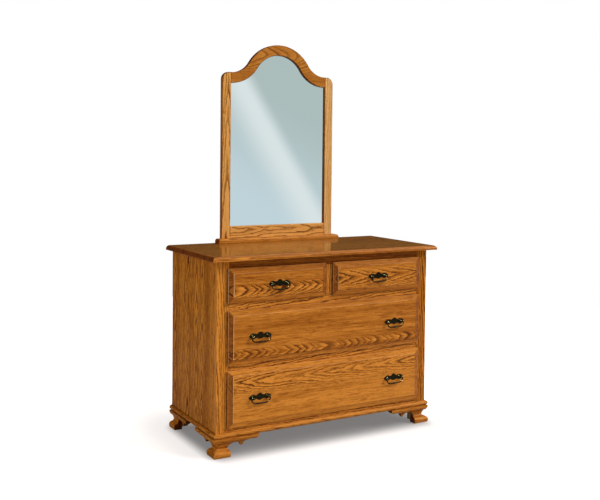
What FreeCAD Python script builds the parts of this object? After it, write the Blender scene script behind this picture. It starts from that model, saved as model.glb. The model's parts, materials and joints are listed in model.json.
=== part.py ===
import FreeCAD, Part

import math
import os
from types import SimpleNamespace

import Sketcher

# A dresser with four drawers on ogee feet, and an arched mirror that stands on its top.
# X runs along the front, Y from the front to the back and Z up. The origin is on the floor,
# under the middle of the whole piece of furniture.

# Driving sizes in millimetres.
SIZES = {
    # Case
    "case_wide": 1172.0,  # over the two sides
    "case_deep": 537.0,  # from the face frame to the back edges of the sides
    "side_thick": 20.0,
    "back_thick": 6.0,
    "back_rabbet": 10.0,  # step in each side that takes the back panel
    "frame_thick": 20.0,  # face frame
    "stile_wide": 61.0,
    "centre_stile_wide": 54.0,
    "bottom_rail_high": 26.0,
    "lower_opening_high": 246.0,
    "lower_rail_high": 44.0,
    "middle_opening_high": 231.0,
    "upper_rail_high": 48.0,
    "upper_opening_high": 143.0,
    "top_rail_high": 44.0,
    # Web frames that carry the drawers
    "web_thick": 20.0,
    "web_ledge": 40.0,  # how far a runner reaches under a drawer
    "back_rail_wide": 60.0,
    "guide_high": 25.0,
    "dust_thick": 4.0,
    "dust_groove": 6.0,
    "panel_fit": 0.2,  # play of a panel in its groove
    # Top board
    "top_thick": 22.4,
    "top_front_over": 43.0,
    "top_side_over": 36.0,
    "top_round_in": 19.0,
    "top_round_down": 15.0,
    # Base moulding
    "mould_high": 24.0,
    "mould_out": 13.0,
    "mould_in": 47.0,  # how far the base frame reaches under the case
    "quirk_high": 3.0,  # groove between the moulding and the feet
    # Feet
    "foot_high": 86.0,
    "foot_out": 15.0,
    "foot_in": 27.0,  # how far the bracket stock reaches under the case
    "bracket_long": 212.0,
    "rear_bracket_thick": 20.0,
    "rear_bracket_long": 150.0,
    "block_wide": 35.0,
    "block_up": 8.0,  # the glue blocks stop short of the floor
    # Drawers
    "side_gap": 0.8,
    "run_gap": 0.3,
    "over_gap": 4.0,
    "lip_over": 8.0,
    "lip_gap": 0.3,
    "lip_thick": 10.0,
    "bevel_wide": 24.0,
    "bevel_rise": 7.0,
    "field_rise": 2.5,
    "tongue_deep": 9.0,
    "box_thick": 13.0,
    "box_room": 30.0,  # between the drawer box and the back edges of the case
    "box_back_drop": 10.0,
    "bottom_thick": 6.0,
    "bottom_up": 8.0,
    "bottom_groove": 6.0,
    # Bail pulls
    "wide_pull_in": 150.0,  # from the end of a wide opening to the middle of its pull
    "plate_out": 19.9,  # from the middle of a post to the tip of the plate
    "pull_crown": 19.0,
    "plate_thick": 2.0,
    "rosette_radius": 12.0,
    "rosette_top_radius": 8.5,
    "rosette_thick": 2.5,
    "post_spacing": 76.2,
    "post_radius": 3.8,
    "post_head_radius": 4.8,
    "pivot_out": 12.0,
    "bolt_radius": 2.1,
    "bolt_fit": 0.3,
    "nut_radius": 5.5,
    "nut_thick": 3.0,
    "bail_radius": 2.2,
    "bail_fit": 0.1,
    "bail_in": 4.1,  # from the middle of a post to the end of the bail
    "bail_out": 9.4,  # from there to the bail's side
    "bail_drop": 27.0,
    "bail_shoulder_radius": 5.0,
    "bail_straight": 4.0,  # straight part of each side
    # Mirror
    "strip_over": 26.0,  # past each side of the mirror
    "strip_deep": 54.0,
    "strip_thick": 22.0,
    "strip_round": 12.0,
    "mirror_wide": 660.0,
    "mirror_thick": 20.0,
    "mirror_stile_wide": 50.0,
    "mirror_rail_high": 62.0,
    "shoulder_high": 853.6,  # from the strip to the top of the stiles
    "arch_rise": 155.0,  # from there to the top of the arch
    "shoulder_flat": 2.0,  # from each stile to the start of the hollow
    "hollow_radius": 121.0,
    "arch_band": 55.0,
    "stile_round": 38.0,
    "glass_rabbet": 9.0,
    "glass_back": 12.0,  # from the front of the frame to the glass
    "glass_thick": 4.0,
    "glass_fit": 0.4,
    # Braces that hold the mirror
    "brace_wide": 30.0,
    "brace_thick": 19.0,
    "brace_long": 805.0,
    "brace_end": 60.0,  # from each end of a brace to its nearest screw
    "screw_long": 34.0,
    "screw_radius": 2.2,
    "screw_head_radius": 4.5,
    "screw_head_thick": 3.0,
    "screw_fit": 0.15,
    "stile_screw_up": 123.6,  # from the strip to the lower screw in each mirror stile
    # Past the surface of what is cut
    "overrun": 5.0,
}

# Roundness of each arc: the tangent of a quarter of its angle, minus where it turns right.
TOP_EDGE_SHARE = 0.36
STRIP_EDGE_SHARE = 0.40
NOSE_SHARE = 0.90

# Section of a foot from its outer bottom edge up: outward as a share of foot_out,
# height as a share of foot_high, and the roundness of the stretch to the next corner.
FOOT_SECTION_SHARES = (
    (-0.80, 0.00, -0.08),
    (-1.00, 0.17, -0.28),
    (-0.40, 0.325, 0.32),
    (0.67, 0.44, 0.10),
    (0.13, 0.69, -0.22),
    (-0.83, 0.88, 0.00),
    (-0.93, 1.00, 0.00),
)

# Lower edge of a foot from its pad to its wing: distance from the corner as a share of
# bracket_long, height as a share of foot_high, and roundness.
FOOT_SCROLL_SHARES = (
    (0.325, 0.23, 0.15),
    (0.292, 0.42, -0.15),
    (0.363, 0.63, -0.32),
    (0.590, 0.58, 0.15),
    (0.627, 0.44, 0.15),
    (0.675, 0.65, -0.20),
    (0.906, 0.78, 0.20),
    (0.986, 0.83, -0.20),
)

# Right half of the pull's plate from its crown to its lower drop: across as a share of
# half the plate, up as a share of pull_crown, and roundness.
PLATE_SHARES = (
    (0.215, 0.605, 0.25),
    (0.420, 0.525, -0.30),
    (0.775, 0.550, -0.15),
    (1.000, 0.025, -0.15),
    (0.775, -0.550, -0.25),
    (0.430, -0.475, 0.25),
    (0.205, -0.500, -0.20),
)
CROWN_SHARE = -0.25
DROP_SHARE = -0.66

SHEET = "Sizes"


class Size:
    """A length known both as a number and as the formula that ties it to the sheet."""

    def __init__(self, value, formula):
        self.value = float(value)
        self.formula = formula

    def __add__(self, other):
        other = as_size(other)
        return Size(self.value + other.value, f"({self.formula} + {other.formula})")

    def __sub__(self, other):
        other = as_size(other)
        return Size(self.value - other.value, f"({self.formula} - {other.formula})")

    def __mul__(self, other):
        other = as_size(other)
        return Size(self.value * other.value, f"({self.formula} * {other.formula})")

    def __truediv__(self, other):
        other = as_size(other)
        return Size(self.value / other.value, f"({self.formula} / {other.formula})")

    def __rmul__(self, other):
        return self * other

    def __neg__(self):
        return self * -1


def as_size(number):
    """A plain count or share, as a Size that formulas can hold."""
    return number if isinstance(number, Size) else Size(number, f"({number})")


def root(size):
    """Square root of a size that is an area."""
    return Size(math.sqrt(size.value), f"sqrt({size.formula})")


doc = FreeCAD.newDocument("Dresser")
sheet = doc.addObject("Spreadsheet::Sheet", SHEET)
for row, (alias, length) in enumerate(SIZES.items(), start=1):
    sheet.set(f"A{row}", alias)
    sheet.set(f"B{row}", str(length))
    sheet.setAlias(f"B{row}", alias)
doc.recompute()

mm = SimpleNamespace(**{alias: Size(length, f"{SHEET}.{alias}") for alias, length in SIZES.items()})
ZERO = Size(0, "0")
pieces = []

# Places that several pieces share
half_case = mm.case_wide / 2
half_opening = half_case - mm.stile_wide
half_centre = mm.centre_stile_wide / 2
face_y = mm.top_front_over - (mm.top_front_over + mm.case_deep + mm.brace_thick) / 2
back_y = face_y + mm.case_deep
panel_y = back_y - mm.back_thick
frame_y = face_y + mm.frame_thick
case_z = mm.foot_high + mm.mould_high
lower_z = case_z + mm.bottom_rail_high
lower_top_z = lower_z + mm.lower_opening_high
middle_z = lower_top_z + mm.lower_rail_high
middle_top_z = middle_z + mm.middle_opening_high
upper_z = middle_top_z + mm.upper_rail_high
upper_top_z = upper_z + mm.upper_opening_high
case_top_z = upper_top_z + mm.top_rail_high
top_z = case_top_z + mm.top_thick
strip_z = top_z + mm.strip_thick
shoulder_z = strip_z + mm.shoulder_high
field_y = face_y - mm.lip_gap - mm.lip_thick - mm.bevel_rise - mm.field_rise

# The mirror's braces and the heights of their screws, into the case and into the mirror
brace_x = (mm.mirror_wide - mm.mirror_stile_wide) / 2
case_screws = [upper_z - mm.web_thick / 2, case_top_z - mm.web_thick / 2]
brace_z = (case_screws[0] - mm.brace_end, case_screws[0] - mm.brace_end + mm.brace_long)
mirror_screws = [strip_z + mm.stile_screw_up, brace_z[1] - mm.brace_end]


def keep(obj):
    """List an object as a finished piece. Its label names its file."""
    pieces.append(obj)
    return obj


def bind(obj, prop, size):
    """Tie one property to the sheet."""
    obj.setExpression(prop, size.formula)


def move(obj, x, y, z):
    """Tie the place of an object to the sheet."""
    bind(obj, "Placement.Base.x", x)
    bind(obj, "Placement.Base.y", y)
    bind(obj, "Placement.Base.z", z)
    return obj


def turn(obj, axis, angle):
    """Turn an object about its own base point."""
    obj.Placement.Rotation = FreeCAD.Rotation(FreeCAD.Vector(*axis), angle)
    return obj


def board(name, x, y, z):
    """A plain board between a low and a high place on each axis."""
    box = doc.addObject("Part::Box", name)
    for prop, (low, high) in zip(("Length", "Width", "Height"), (x, y, z)):
        bind(box, prop, high - low)
    return move(box, x[0], y[0], z[0])


def rod(name, radius, length, place, axis, angle):
    """A round rod that leaves its place along Z, turned about an axis."""
    cylinder = doc.addObject("Part::Cylinder", name)
    bind(cylinder, "Radius", radius)
    bind(cylinder, "Height", length)
    turn(cylinder, axis, angle)
    return move(cylinder, *place)


def rod_out(name, radius, length, place):
    """A round rod that runs towards the front."""
    return rod(name, radius, length, place, (1, 0, 0), 90)


def rod_across(name, radius, length, place):
    """A round rod that runs to the right."""
    return rod(name, radius, length, place, (0, 1, 0), 90)


def join(name, parts):
    """One solid from parts that share faces or volume."""
    fused = doc.addObject("Part::MultiFuse", name)
    fused.Shapes = parts
    fused.Refine = True
    return fused


def group(name, parts):
    """Separate solids that share a node."""
    compound = doc.addObject("Part::Compound", name)
    compound.Links = parts
    return compound


def cut(name, base, tool):
    """A piece with a tool's volume taken out."""
    result = doc.addObject("Part::Cut", name)
    result.Base = base
    result.Tool = tool
    return result


def mirrored(name, source, base=(ZERO, ZERO), normal=(1, 0, 0)):
    """The mirror image of a piece, by default of left for right."""
    image = doc.addObject("Part::Mirroring", name)
    image.Source = source
    image.Normal = normal
    bind(image, "Base.x", base[0])
    bind(image, "Base.y", base[1])
    return image


def new_body(name):
    """An empty body."""
    return doc.addObject("PartDesign::Body", name)


def arc_radius(start, finish, share):
    """Radius of an arc from its two ends and its roundness."""
    across = finish[0] - start[0]
    up = finish[1] - start[1]
    chord = root(across * across + up * up)
    return chord * ((1 + share * share) / (4 * abs(share)))


def arc_edge(start, finish, radius, left):
    """An arc of less than half a circle, counter-clockwise where it turns left."""
    first = FreeCAD.Vector(start[0].value, start[1].value, 0)
    last = FreeCAD.Vector(finish[0].value, finish[1].value, 0)
    chord = last - first
    rise = math.sqrt(max(radius.value ** 2 - (chord.Length / 2) ** 2, 0))
    side = FreeCAD.Vector(-chord.y, chord.x, 0).normalize()
    centre = (first + last) / 2 + side * (rise if left else -rise)
    ends = (first, last) if left else (last, first)
    low, high = (math.atan2(end.y - centre.y, end.x - centre.x) for end in ends)
    if high < low:
        high += 2 * math.pi
    circle = Part.Circle(centre, FreeCAD.Vector(0, 0, 1), radius.value)
    return Part.ArcOfCircle(circle, low, high)


def new_sketch(body, name, plane, offset=ZERO):
    """A sketch on one of the body's own origin planes, or at an offset from it."""
    sketch = body.newObject("Sketcher::SketchObject", name)
    base = next(f for f in body.Origin.OriginFeatures if f.Role == plane)
    sketch.AttachmentSupport = [(base, "")]
    sketch.MapMode = "FlatFace"
    bind(sketch, "AttachmentOffset.Base.z", offset)
    return sketch


def constrain(sketch, size, *terms):
    """Add one dimension to a sketch and tie it to the sheet."""
    number = sketch.addConstraint(Sketcher.Constraint(*terms, size.value))
    bind(sketch, f"Constraints[{number}]", size)


def draw(sketch, corners, closed=True):
    """Draw lines and arcs through corners, each (x, y) or (x, y, bend to the next).

    A bend is a radius, minus where the arc turns right, or a roundness share.
    """
    count = len(corners) if closed else len(corners) - 1
    ends = []
    for number in range(count):
        start = corners[number]
        finish = corners[(number + 1) % len(corners)]
        bend = start[2] if len(start) > 2 else 0
        if not isinstance(bend, Size) and bend == 0:
            points = [FreeCAD.Vector(c[0].value, c[1].value, 0) for c in (start, finish)]
            edge = sketch.addGeometry(Part.LineSegment(*points), False)
            ends.append((edge, 1, 2))
            continue
        left = bend.value > 0 if isinstance(bend, Size) else bend > 0
        if isinstance(bend, Size):
            radius = bend if left else -bend
        else:
            radius = arc_radius(start, finish, bend)
        edge = sketch.addGeometry(arc_edge(start, finish, radius, left), False)
        constrain(sketch, radius, "Radius", edge)
        ends.append((edge, 1, 2) if left else (edge, 2, 1))
    for number in range(count if closed else count - 1):
        edge, _, last = ends[number]
        next_edge, first, _ = ends[(number + 1) % count]
        sketch.addConstraint(Sketcher.Constraint("Coincident", edge, last, next_edge, first))
    for number, corner in enumerate(corners):
        edge, first, last = ends[min(number, count - 1)]
        point = first if number < count else last
        constrain(sketch, corner[0], "DistanceX", -1, 1, edge, point)
        constrain(sketch, corner[1], "DistanceY", -1, 1, edge, point)
    return sketch


def pad(body, sketch, length, back=False, middle=False):
    """Push a sketch out by a length, to both sides alike where middle is set."""
    feature = body.newObject("PartDesign::Pad", f"{sketch.Name}_pad")
    feature.Profile = sketch
    bind(feature, "Length", length)
    feature.Reversed = back
    feature.SideType = "Symmetric" if middle else "One side"
    return feature


def pocket(body, sketch, length):
    """Cut a sketch through the body, half the length to each side."""
    feature = body.newObject("PartDesign::Pocket", f"{sketch.Name}_pocket")
    feature.Profile = sketch
    feature.SideType = "Symmetric"
    feature.Type = "Length"
    bind(feature, "Length", length)
    return feature


def flipped(corners):
    """The same outline on the other side of the sketch's upright axis."""
    return [(-corner[0], corner[1], *(-bend for bend in corner[2:])) for corner in corners]


def rounded_slab(name, half_wide, y, z, inward, downward, share):
    """A board whose top edges are rounded along the front and both ends."""
    body = new_body(name)
    deep = y[1] - y[0]
    thick = z[1] - z[0]
    front = draw(new_sketch(body, f"{name}_section", "YZ_Plane"), [
        (ZERO, ZERO),
        (deep, ZERO),
        (deep, thick),
        (inward, thick, share),
        (ZERO, thick - downward),
    ])
    pad(body, front, half_wide * 2, middle=True)
    over = mm.overrun
    end = [
        (half_wide - inward, thick, -share),
        (half_wide, thick - downward),
        (half_wide + over, thick - downward),
        (half_wide + over, thick + over),
        (half_wide - inward, thick + over),
    ]
    for side, corners in (("right", end), ("left", flipped(end))):
        sketch = draw(new_sketch(body, f"{name}_{side}_end", "XZ_Plane"), corners)
        pocket(body, sketch, (deep + over) * 2)
    return move(body, ZERO, y[0], z[0])


def make_case():
    """Sides, back, face frame and top of the case."""
    full_z = (case_z, case_top_z)
    inner_x = half_case - mm.side_thick
    rabbet = board("back_rabbet_tool", (-(inner_x + mm.back_rabbet), inner_x + mm.back_rabbet),
                   (panel_y, back_y + mm.overrun), (case_z - mm.overrun, case_top_z + mm.overrun))
    side_blank = board("side_blank", (-half_case, -inner_x), (frame_y, back_y), full_z)
    left_side = keep(cut("left_side", side_blank, rabbet))
    keep(mirrored("right_side", left_side))
    back = board("back_blank", (-(inner_x + mm.back_rabbet), inner_x + mm.back_rabbet),
                 (panel_y, back_y), full_z)
    keep(cut("back_panel", back, screw_set("back_panel_holes", mm.screw_fit, case_screws)))

    face = (face_y, frame_y)
    left_stile = keep(board("left_stile", (-half_case, -half_opening), face, full_z))
    keep(mirrored("right_stile", left_stile))
    keep(board("centre_stile", (-half_centre, half_centre), face, (upper_z, upper_top_z)))
    span = (-half_opening, half_opening)
    keep(board("bottom_rail", span, face, (case_z, lower_z)))
    keep(board("lower_rail", span, face, (lower_top_z, middle_z)))
    keep(board("upper_rail", span, face, (middle_top_z, upper_z)))
    keep(board("top_rail", span, face, (upper_top_z, case_top_z)))

    keep(rounded_slab("top_board", half_case + mm.top_side_over, (face_y - mm.top_front_over, back_y),
                      (case_top_z, top_z), mm.top_round_in, mm.top_round_down, TOP_EDGE_SHARE))


def make_web_frames():
    """Runners, guides, kickers and dust panels inside the case."""
    inner_x = half_case - mm.side_thick
    runner_x = half_opening - mm.web_ledge
    centre_x = half_centre + mm.web_ledge
    rail_y = panel_y - mm.back_rail_wide
    run_y = (frame_y, rail_y)
    panels = []

    def side_bars(name, z):
        """Two bars along the sides, from the face frame to the back rail."""
        left = board(f"{name}_left_bar", (-inner_x, -runner_x), run_y, z)
        return [left, mirrored(f"{name}_right_bar", left)]

    def guides(name, z):
        """Two strips beside the drawers that keep them straight."""
        left = board(f"{name}_left_guide", (-inner_x, -half_opening), run_y, (z, z + mm.guide_high))
        return [left, mirrored(f"{name}_right_guide", left)]

    def back_rail(name, z):
        """The rail across the back that the bars meet."""
        return board(f"{name}_back_rail", (-inner_x, inner_x), (rail_y, panel_y), z)

    def dust_panel(name, x, z):
        """A thin panel in grooves between the bars, and the slot that it sits in."""
        low = z - (mm.web_thick + mm.dust_thick) / 2
        slot_x = (x[0] - mm.dust_groove, x[1] + mm.dust_groove)
        slot_y = (frame_y, rail_y + mm.dust_groove)
        fit = mm.panel_fit
        panels.append(board(f"{name}_dust_panel", (slot_x[0] + fit, slot_x[1] - fit),
                            (slot_y[0], slot_y[1] - fit), (low + fit, low + mm.dust_thick - fit)))
        return board(f"{name}_dust_slot", slot_x, slot_y, (low, low + mm.dust_thick))

    for name, z in (("bottom", lower_z), ("lower", middle_z)):
        level = (z - mm.web_thick, z)
        bars = side_bars(name, level) + [back_rail(name, level)]
        blank = group(f"{name}_web_blank", bars + guides(name, z))
        keep(cut(f"{name}_web_frame", blank, dust_panel(name, (-runner_x, runner_x), z)))

    level = (upper_z - mm.web_thick, upper_z)
    bars = side_bars("upper", level) + [back_rail("upper", level)]
    bars.append(board("upper_centre_bar", (-centre_x, centre_x), run_y, level))
    bars.append(board("upper_centre_guide", (-half_centre, half_centre), run_y,
                      (upper_z, upper_z + mm.guide_high)))
    blank = group("upper_web_blank", bars + guides("upper", upper_z))
    slots = [dust_panel("upper_left", (-runner_x, -centre_x), upper_z),
             dust_panel("upper_right", (centre_x, runner_x), upper_z)]
    holes = screw_set("upper_web_holes", mm.screw_fit, case_screws)
    keep(cut("upper_web_frame", blank, group("upper_web_tools", slots + [holes])))

    kicker_z = (upper_top_z, case_top_z)
    kickers = side_bars("top", kicker_z)
    kickers.append(board("top_centre_bar", (-centre_x, centre_x), run_y, kicker_z))
    kickers.append(back_rail("top", (case_top_z - mm.web_thick, case_top_z)))
    holes = screw_set("top_web_holes", mm.screw_fit, case_screws)
    keep(cut("top_web_frame", group("top_web_blank", kickers), holes))
    keep(group("dust_panels", panels))


def make_base():
    """The moulded frame under the case."""
    nose_high = mm.mould_high - mm.quirk_high
    nose_back = -(mm.mould_out - nose_high * (NOSE_SHARE / 2))
    section = [
        (nose_back, ZERO),
        (nose_back, mm.quirk_high, -NOSE_SHARE),
        (nose_back, mm.mould_high),
        (mm.mould_in, mm.mould_high),
        (mm.mould_in, ZERO),
    ]
    over = mm.overrun
    reach = mm.mould_out + over
    inner = mm.mould_in + over

    front = new_body("base_front_moulding")
    pad(front, draw(new_sketch(front, "base_front_section", "YZ_Plane"), section),
        (half_case + mm.mould_out) * 2, middle=True)
    mitre = [
        (half_case + reach, -reach),
        (half_case + reach, inner),
        (half_case - inner, inner),
    ]
    for side, corners in (("right", mitre), ("left", flipped(mitre))):
        sketch = draw(new_sketch(front, f"base_front_{side}_mitre", "XY_Plane"), corners)
        pocket(front, sketch, (mm.mould_high + over) * 2)
    keep(move(front, ZERO, face_y, mm.foot_high))

    # The left moulding is drawn with its outside towards -Y and its length along X,
    # and then turned so that its length runs to the back.
    left = new_body("base_left_moulding")
    sketch = draw(new_sketch(left, "base_left_section", "YZ_Plane", -mm.case_deep), section)
    pad(left, sketch, mm.case_deep + mm.mould_out)
    sketch = draw(new_sketch(left, "base_left_mitre", "XY_Plane"), [
        (reach, -reach),
        (reach, inner),
        (-inner, inner),
    ])
    pocket(left, sketch, (mm.mould_high + over) * 2)
    turn(left, (0, 0, 1), -90)
    keep(move(left, -half_case, face_y, mm.foot_high))
    keep(mirrored("base_right_moulding", left))

    inner_x = half_case - mm.mould_in
    keep(board("base_back_rail", (-inner_x, inner_x), (back_y - mm.mould_in, back_y),
               (mm.foot_high, case_z)))


def make_bracket(name, mitred):
    """A foot bracket with its length along X from the corner and its outside towards -Y."""
    body = new_body(name)
    section = [(mm.foot_in, ZERO)]
    section += [(mm.foot_out * out, mm.foot_high * up, bow) for out, up, bow in FOOT_SECTION_SHARES]
    section.append((mm.foot_in, mm.foot_high))
    start = -mm.foot_out if mitred else ZERO
    sketch = draw(new_sketch(body, f"{name}_section", "YZ_Plane", start), section)
    pad(body, sketch, mm.bracket_long - start)

    over = mm.overrun
    scroll = [(mm.bracket_long * along, mm.foot_high * up, bow)
              for along, up, bow in FOOT_SCROLL_SHARES]
    pad_x = scroll[0][0]
    end_x = mm.bracket_long
    wing_z = mm.foot_high * ((FOOT_SCROLL_SHARES[-1][1] + 1) / 2)
    outline = [(pad_x, -over)] + scroll
    outline += [(end_x, wing_z), (end_x + over, wing_z), (end_x + over, -over)]
    sketch = draw(new_sketch(body, f"{name}_scroll", "XZ_Plane"), outline)
    pocket(body, sketch, (mm.foot_in + mm.foot_out + over) * 2)
    if mitred:
        out = mm.foot_out + over
        inside = mm.foot_in + over
        sketch = draw(new_sketch(body, f"{name}_mitre", "XY_Plane"), [
            (-out, -out),
            (inside, inside),
            (-out, inside),
        ])
        pocket(body, sketch, (mm.foot_high + over) * 2)
    return body


def make_feet():
    """Two mitred brackets at each front corner, and one against a plain board at each rear one."""
    front = move(make_bracket("front_bracket", True), -half_case, face_y, ZERO)
    side = mirrored("front_side_bracket", front, (-half_case, face_y), (1, -1, 0))
    left_front = keep(group("front_left_foot", [front, side]))
    keep(mirrored("front_right_foot", left_front))

    rear_side = turn(make_bracket("rear_side_bracket", False), (0, 0, 1), -90)
    move(rear_side, -half_case, back_y, ZERO)
    inner_x = half_case - mm.foot_in
    rear = new_body("rear_bracket")
    sketch = draw(new_sketch(rear, "rear_bracket_outline", "XZ_Plane"), [
        (ZERO, ZERO),
        (mm.rear_bracket_long / 3, ZERO),
        (mm.rear_bracket_long, mm.foot_high / 2),
        (mm.rear_bracket_long, mm.foot_high),
        (ZERO, mm.foot_high),
    ])
    pad(rear, sketch, mm.rear_bracket_thick)
    move(rear, -inner_x, back_y, ZERO)
    left_rear = keep(group("rear_left_foot", [rear_side, rear]))
    keep(mirrored("rear_right_foot", left_rear))

    block_x = (-inner_x, mm.block_wide - inner_x)
    block_z = (mm.block_up, mm.foot_high)
    front_y = face_y + mm.foot_in
    rear_y = back_y - mm.rear_bracket_thick
    blocks = [board("front_left_block", block_x, (front_y, front_y + mm.block_wide), block_z),
              board("rear_left_block", block_x, (rear_y - mm.block_wide, rear_y), block_z)]
    blocks += [mirrored("front_right_block", blocks[0]), mirrored("rear_right_block", blocks[1])]
    keep(group("foot_blocks", blocks))


def pull_plate(name):
    """The pull's backplate with a rosette under each post, its back at Y zero."""
    body = new_body(f"{name}_plate_body")
    half_plate = mm.post_spacing / 2 + mm.plate_out
    half = [(ZERO, mm.pull_crown, CROWN_SHARE)]
    half += [(half_plate * across, mm.pull_crown * up, bow) for across, up, bow in PLATE_SHARES]
    drop = (ZERO, mm.pull_crown * DROP_SHARE)
    corners = half + [(*drop, PLATE_SHARES[-1][2])]
    corners += [(-c[0], c[1], half[-2 - n][2] if n < len(half) - 1 else 0)
                for n, c in enumerate(reversed(half[1:]))]
    corners[-1] = (corners[-1][0], corners[-1][1], CROWN_SHARE)
    pad(body, draw(new_sketch(body, f"{name}_plate_outline", "XZ_Plane"), corners), mm.plate_thick)
    return body


def make_pull(name, x, z):
    """Plate, posts and nuts of one pull, and its bail."""
    half_post = mm.post_spacing / 2
    plate_y = field_y - mm.plate_thick
    rosette_y = plate_y - mm.rosette_thick
    pivot_y = field_y - mm.pivot_out
    inside_y = face_y + mm.tongue_deep
    plate = move(pull_plate(name), x, field_y, z)
    parts = [plate]
    holes = []
    fixings = []
    for side, post_x in (("left", x - half_post), ("right", x + half_post)):
        stem = f"{name}_{side}"
        rosette = doc.addObject("Part::Cone", f"{stem}_rosette")
        bind(rosette, "Radius1", mm.rosette_radius)
        bind(rosette, "Radius2", mm.rosette_top_radius)
        bind(rosette, "Height", mm.rosette_thick)
        turn(rosette, (1, 0, 0), 90)
        parts.append(move(rosette, post_x, plate_y, z))
        hole_y = inside_y + mm.overrun
        holes.append(rod_out(f"{stem}_hole", mm.bolt_radius + mm.bolt_fit,
                             hole_y - rosette_y + mm.overrun, (post_x, hole_y, z)))
        nut_y = inside_y + mm.nut_thick
        bolt = rod_out(f"{stem}_bolt", mm.bolt_radius, nut_y - rosette_y, (post_x, nut_y, z))
        neck = rod_out(f"{stem}_neck", mm.post_radius, rosette_y - pivot_y, (post_x, rosette_y, z))
        head = doc.addObject("Part::Sphere", f"{stem}_head")
        bind(head, "Radius", mm.post_head_radius)
        move(head, post_x, pivot_y, z)
        bore_long = (mm.post_head_radius + mm.overrun) * 2
        bore = rod_across(f"{stem}_bore", mm.bail_radius + mm.bail_fit, bore_long,
                          (post_x - bore_long / 2, pivot_y, z))
        fixings.append(cut(f"{stem}_post", join(f"{stem}_post_blank", [bolt, neck, head]), bore))
        nut = rod_out(f"{stem}_nut_blank", mm.nut_radius, mm.nut_thick, (post_x, nut_y, z))
        clearance = rod_out(f"{stem}_nut_hole", mm.bolt_radius + mm.screw_fit,
                            mm.nut_thick + mm.overrun * 2, (post_x, nut_y + mm.overrun, z))
        fixings.append(cut(f"{stem}_nut", nut, clearance))
    hole_set = group(f"{name}_holes", holes)
    drilled = cut(f"{name}_plate", join(f"{name}_plate_blank", parts), hole_set)
    return [drilled] + fixings, hole_set


def make_bail(name, x, z):
    """The hanging handle of one pull, bent from one rod."""
    body = new_body(name)
    half = mm.post_spacing / 2 + mm.bail_out
    end = mm.post_spacing / 2 - mm.bail_in
    shoulder = mm.bail_shoulder_radius
    corner = mm.bail_drop - shoulder - mm.bail_straight
    right = [
        (half - corner, -mm.bail_drop, corner),
        (half, corner - mm.bail_drop),
        (half, -shoulder, shoulder),
        (half - shoulder, ZERO),
        (end, ZERO),
    ]
    left = [
        (-end, ZERO),
        (shoulder - half, ZERO, shoulder),
        (-half, -shoulder),
        (-half, corner - mm.bail_drop, corner),
        (corner - half, -mm.bail_drop),
    ]
    path = draw(new_sketch(body, f"{name}_path", "XZ_Plane"), left + right, closed=False)
    ring = new_sketch(body, f"{name}_ring", "YZ_Plane", -end)
    origin = FreeCAD.Vector(0, 0, 0)
    circle = Part.Circle(origin, FreeCAD.Vector(0, 0, 1), mm.bail_radius.value)
    edge = ring.addGeometry(circle, False)
    ring.addConstraint(Sketcher.Constraint("Coincident", edge, 3, -1, 1))
    constrain(ring, mm.bail_radius, "Radius", edge)
    pipe = body.newObject("PartDesign::AdditivePipe", f"{name}_pipe")
    pipe.Profile = ring
    pipe.Spine = (path, [])
    return keep(move(body, x, field_y - mm.pivot_out, z))


def raised_front(name, x, z):
    """A drawer front with a lip all round and a raised field."""
    gap = mm.side_gap
    lip_y = face_y - mm.lip_gap
    bevel_y = lip_y - mm.lip_thick
    step_y = bevel_y - mm.bevel_rise
    lip_x = (x[0] - mm.lip_over, x[1] + mm.lip_over)
    lip_z = (z[0] - mm.lip_over, z[1] + mm.lip_over)
    inset_x = (lip_x[0] + mm.bevel_wide, lip_x[1] - mm.bevel_wide)
    inset_z = (lip_z[0] + mm.bevel_wide, lip_z[1] - mm.bevel_wide)
    tongue = board(f"{name}_tongue", (x[0] + gap, x[1] - gap), (lip_y, face_y + mm.tongue_deep),
                   (z[0] + gap, z[1] - gap))
    lip = board(f"{name}_lip", lip_x, (bevel_y, lip_y), lip_z)
    bevel = doc.addObject("Part::Wedge", f"{name}_bevel")
    spans = {"Xmin": inset_x[0], "Xmax": inset_x[1], "Zmin": inset_z[0], "Zmax": inset_z[1],
             "X2min": lip_x[0], "X2max": lip_x[1], "Z2min": lip_z[0], "Z2max": lip_z[1],
             "Ymin": step_y, "Ymax": bevel_y}
    for prop, size in spans.items():
        bind(bevel, prop, size)
    field = board(f"{name}_field", inset_x, (field_y, step_y), inset_z)
    return join(f"{name}_blank", [tongue, lip, bevel, field])


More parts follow.
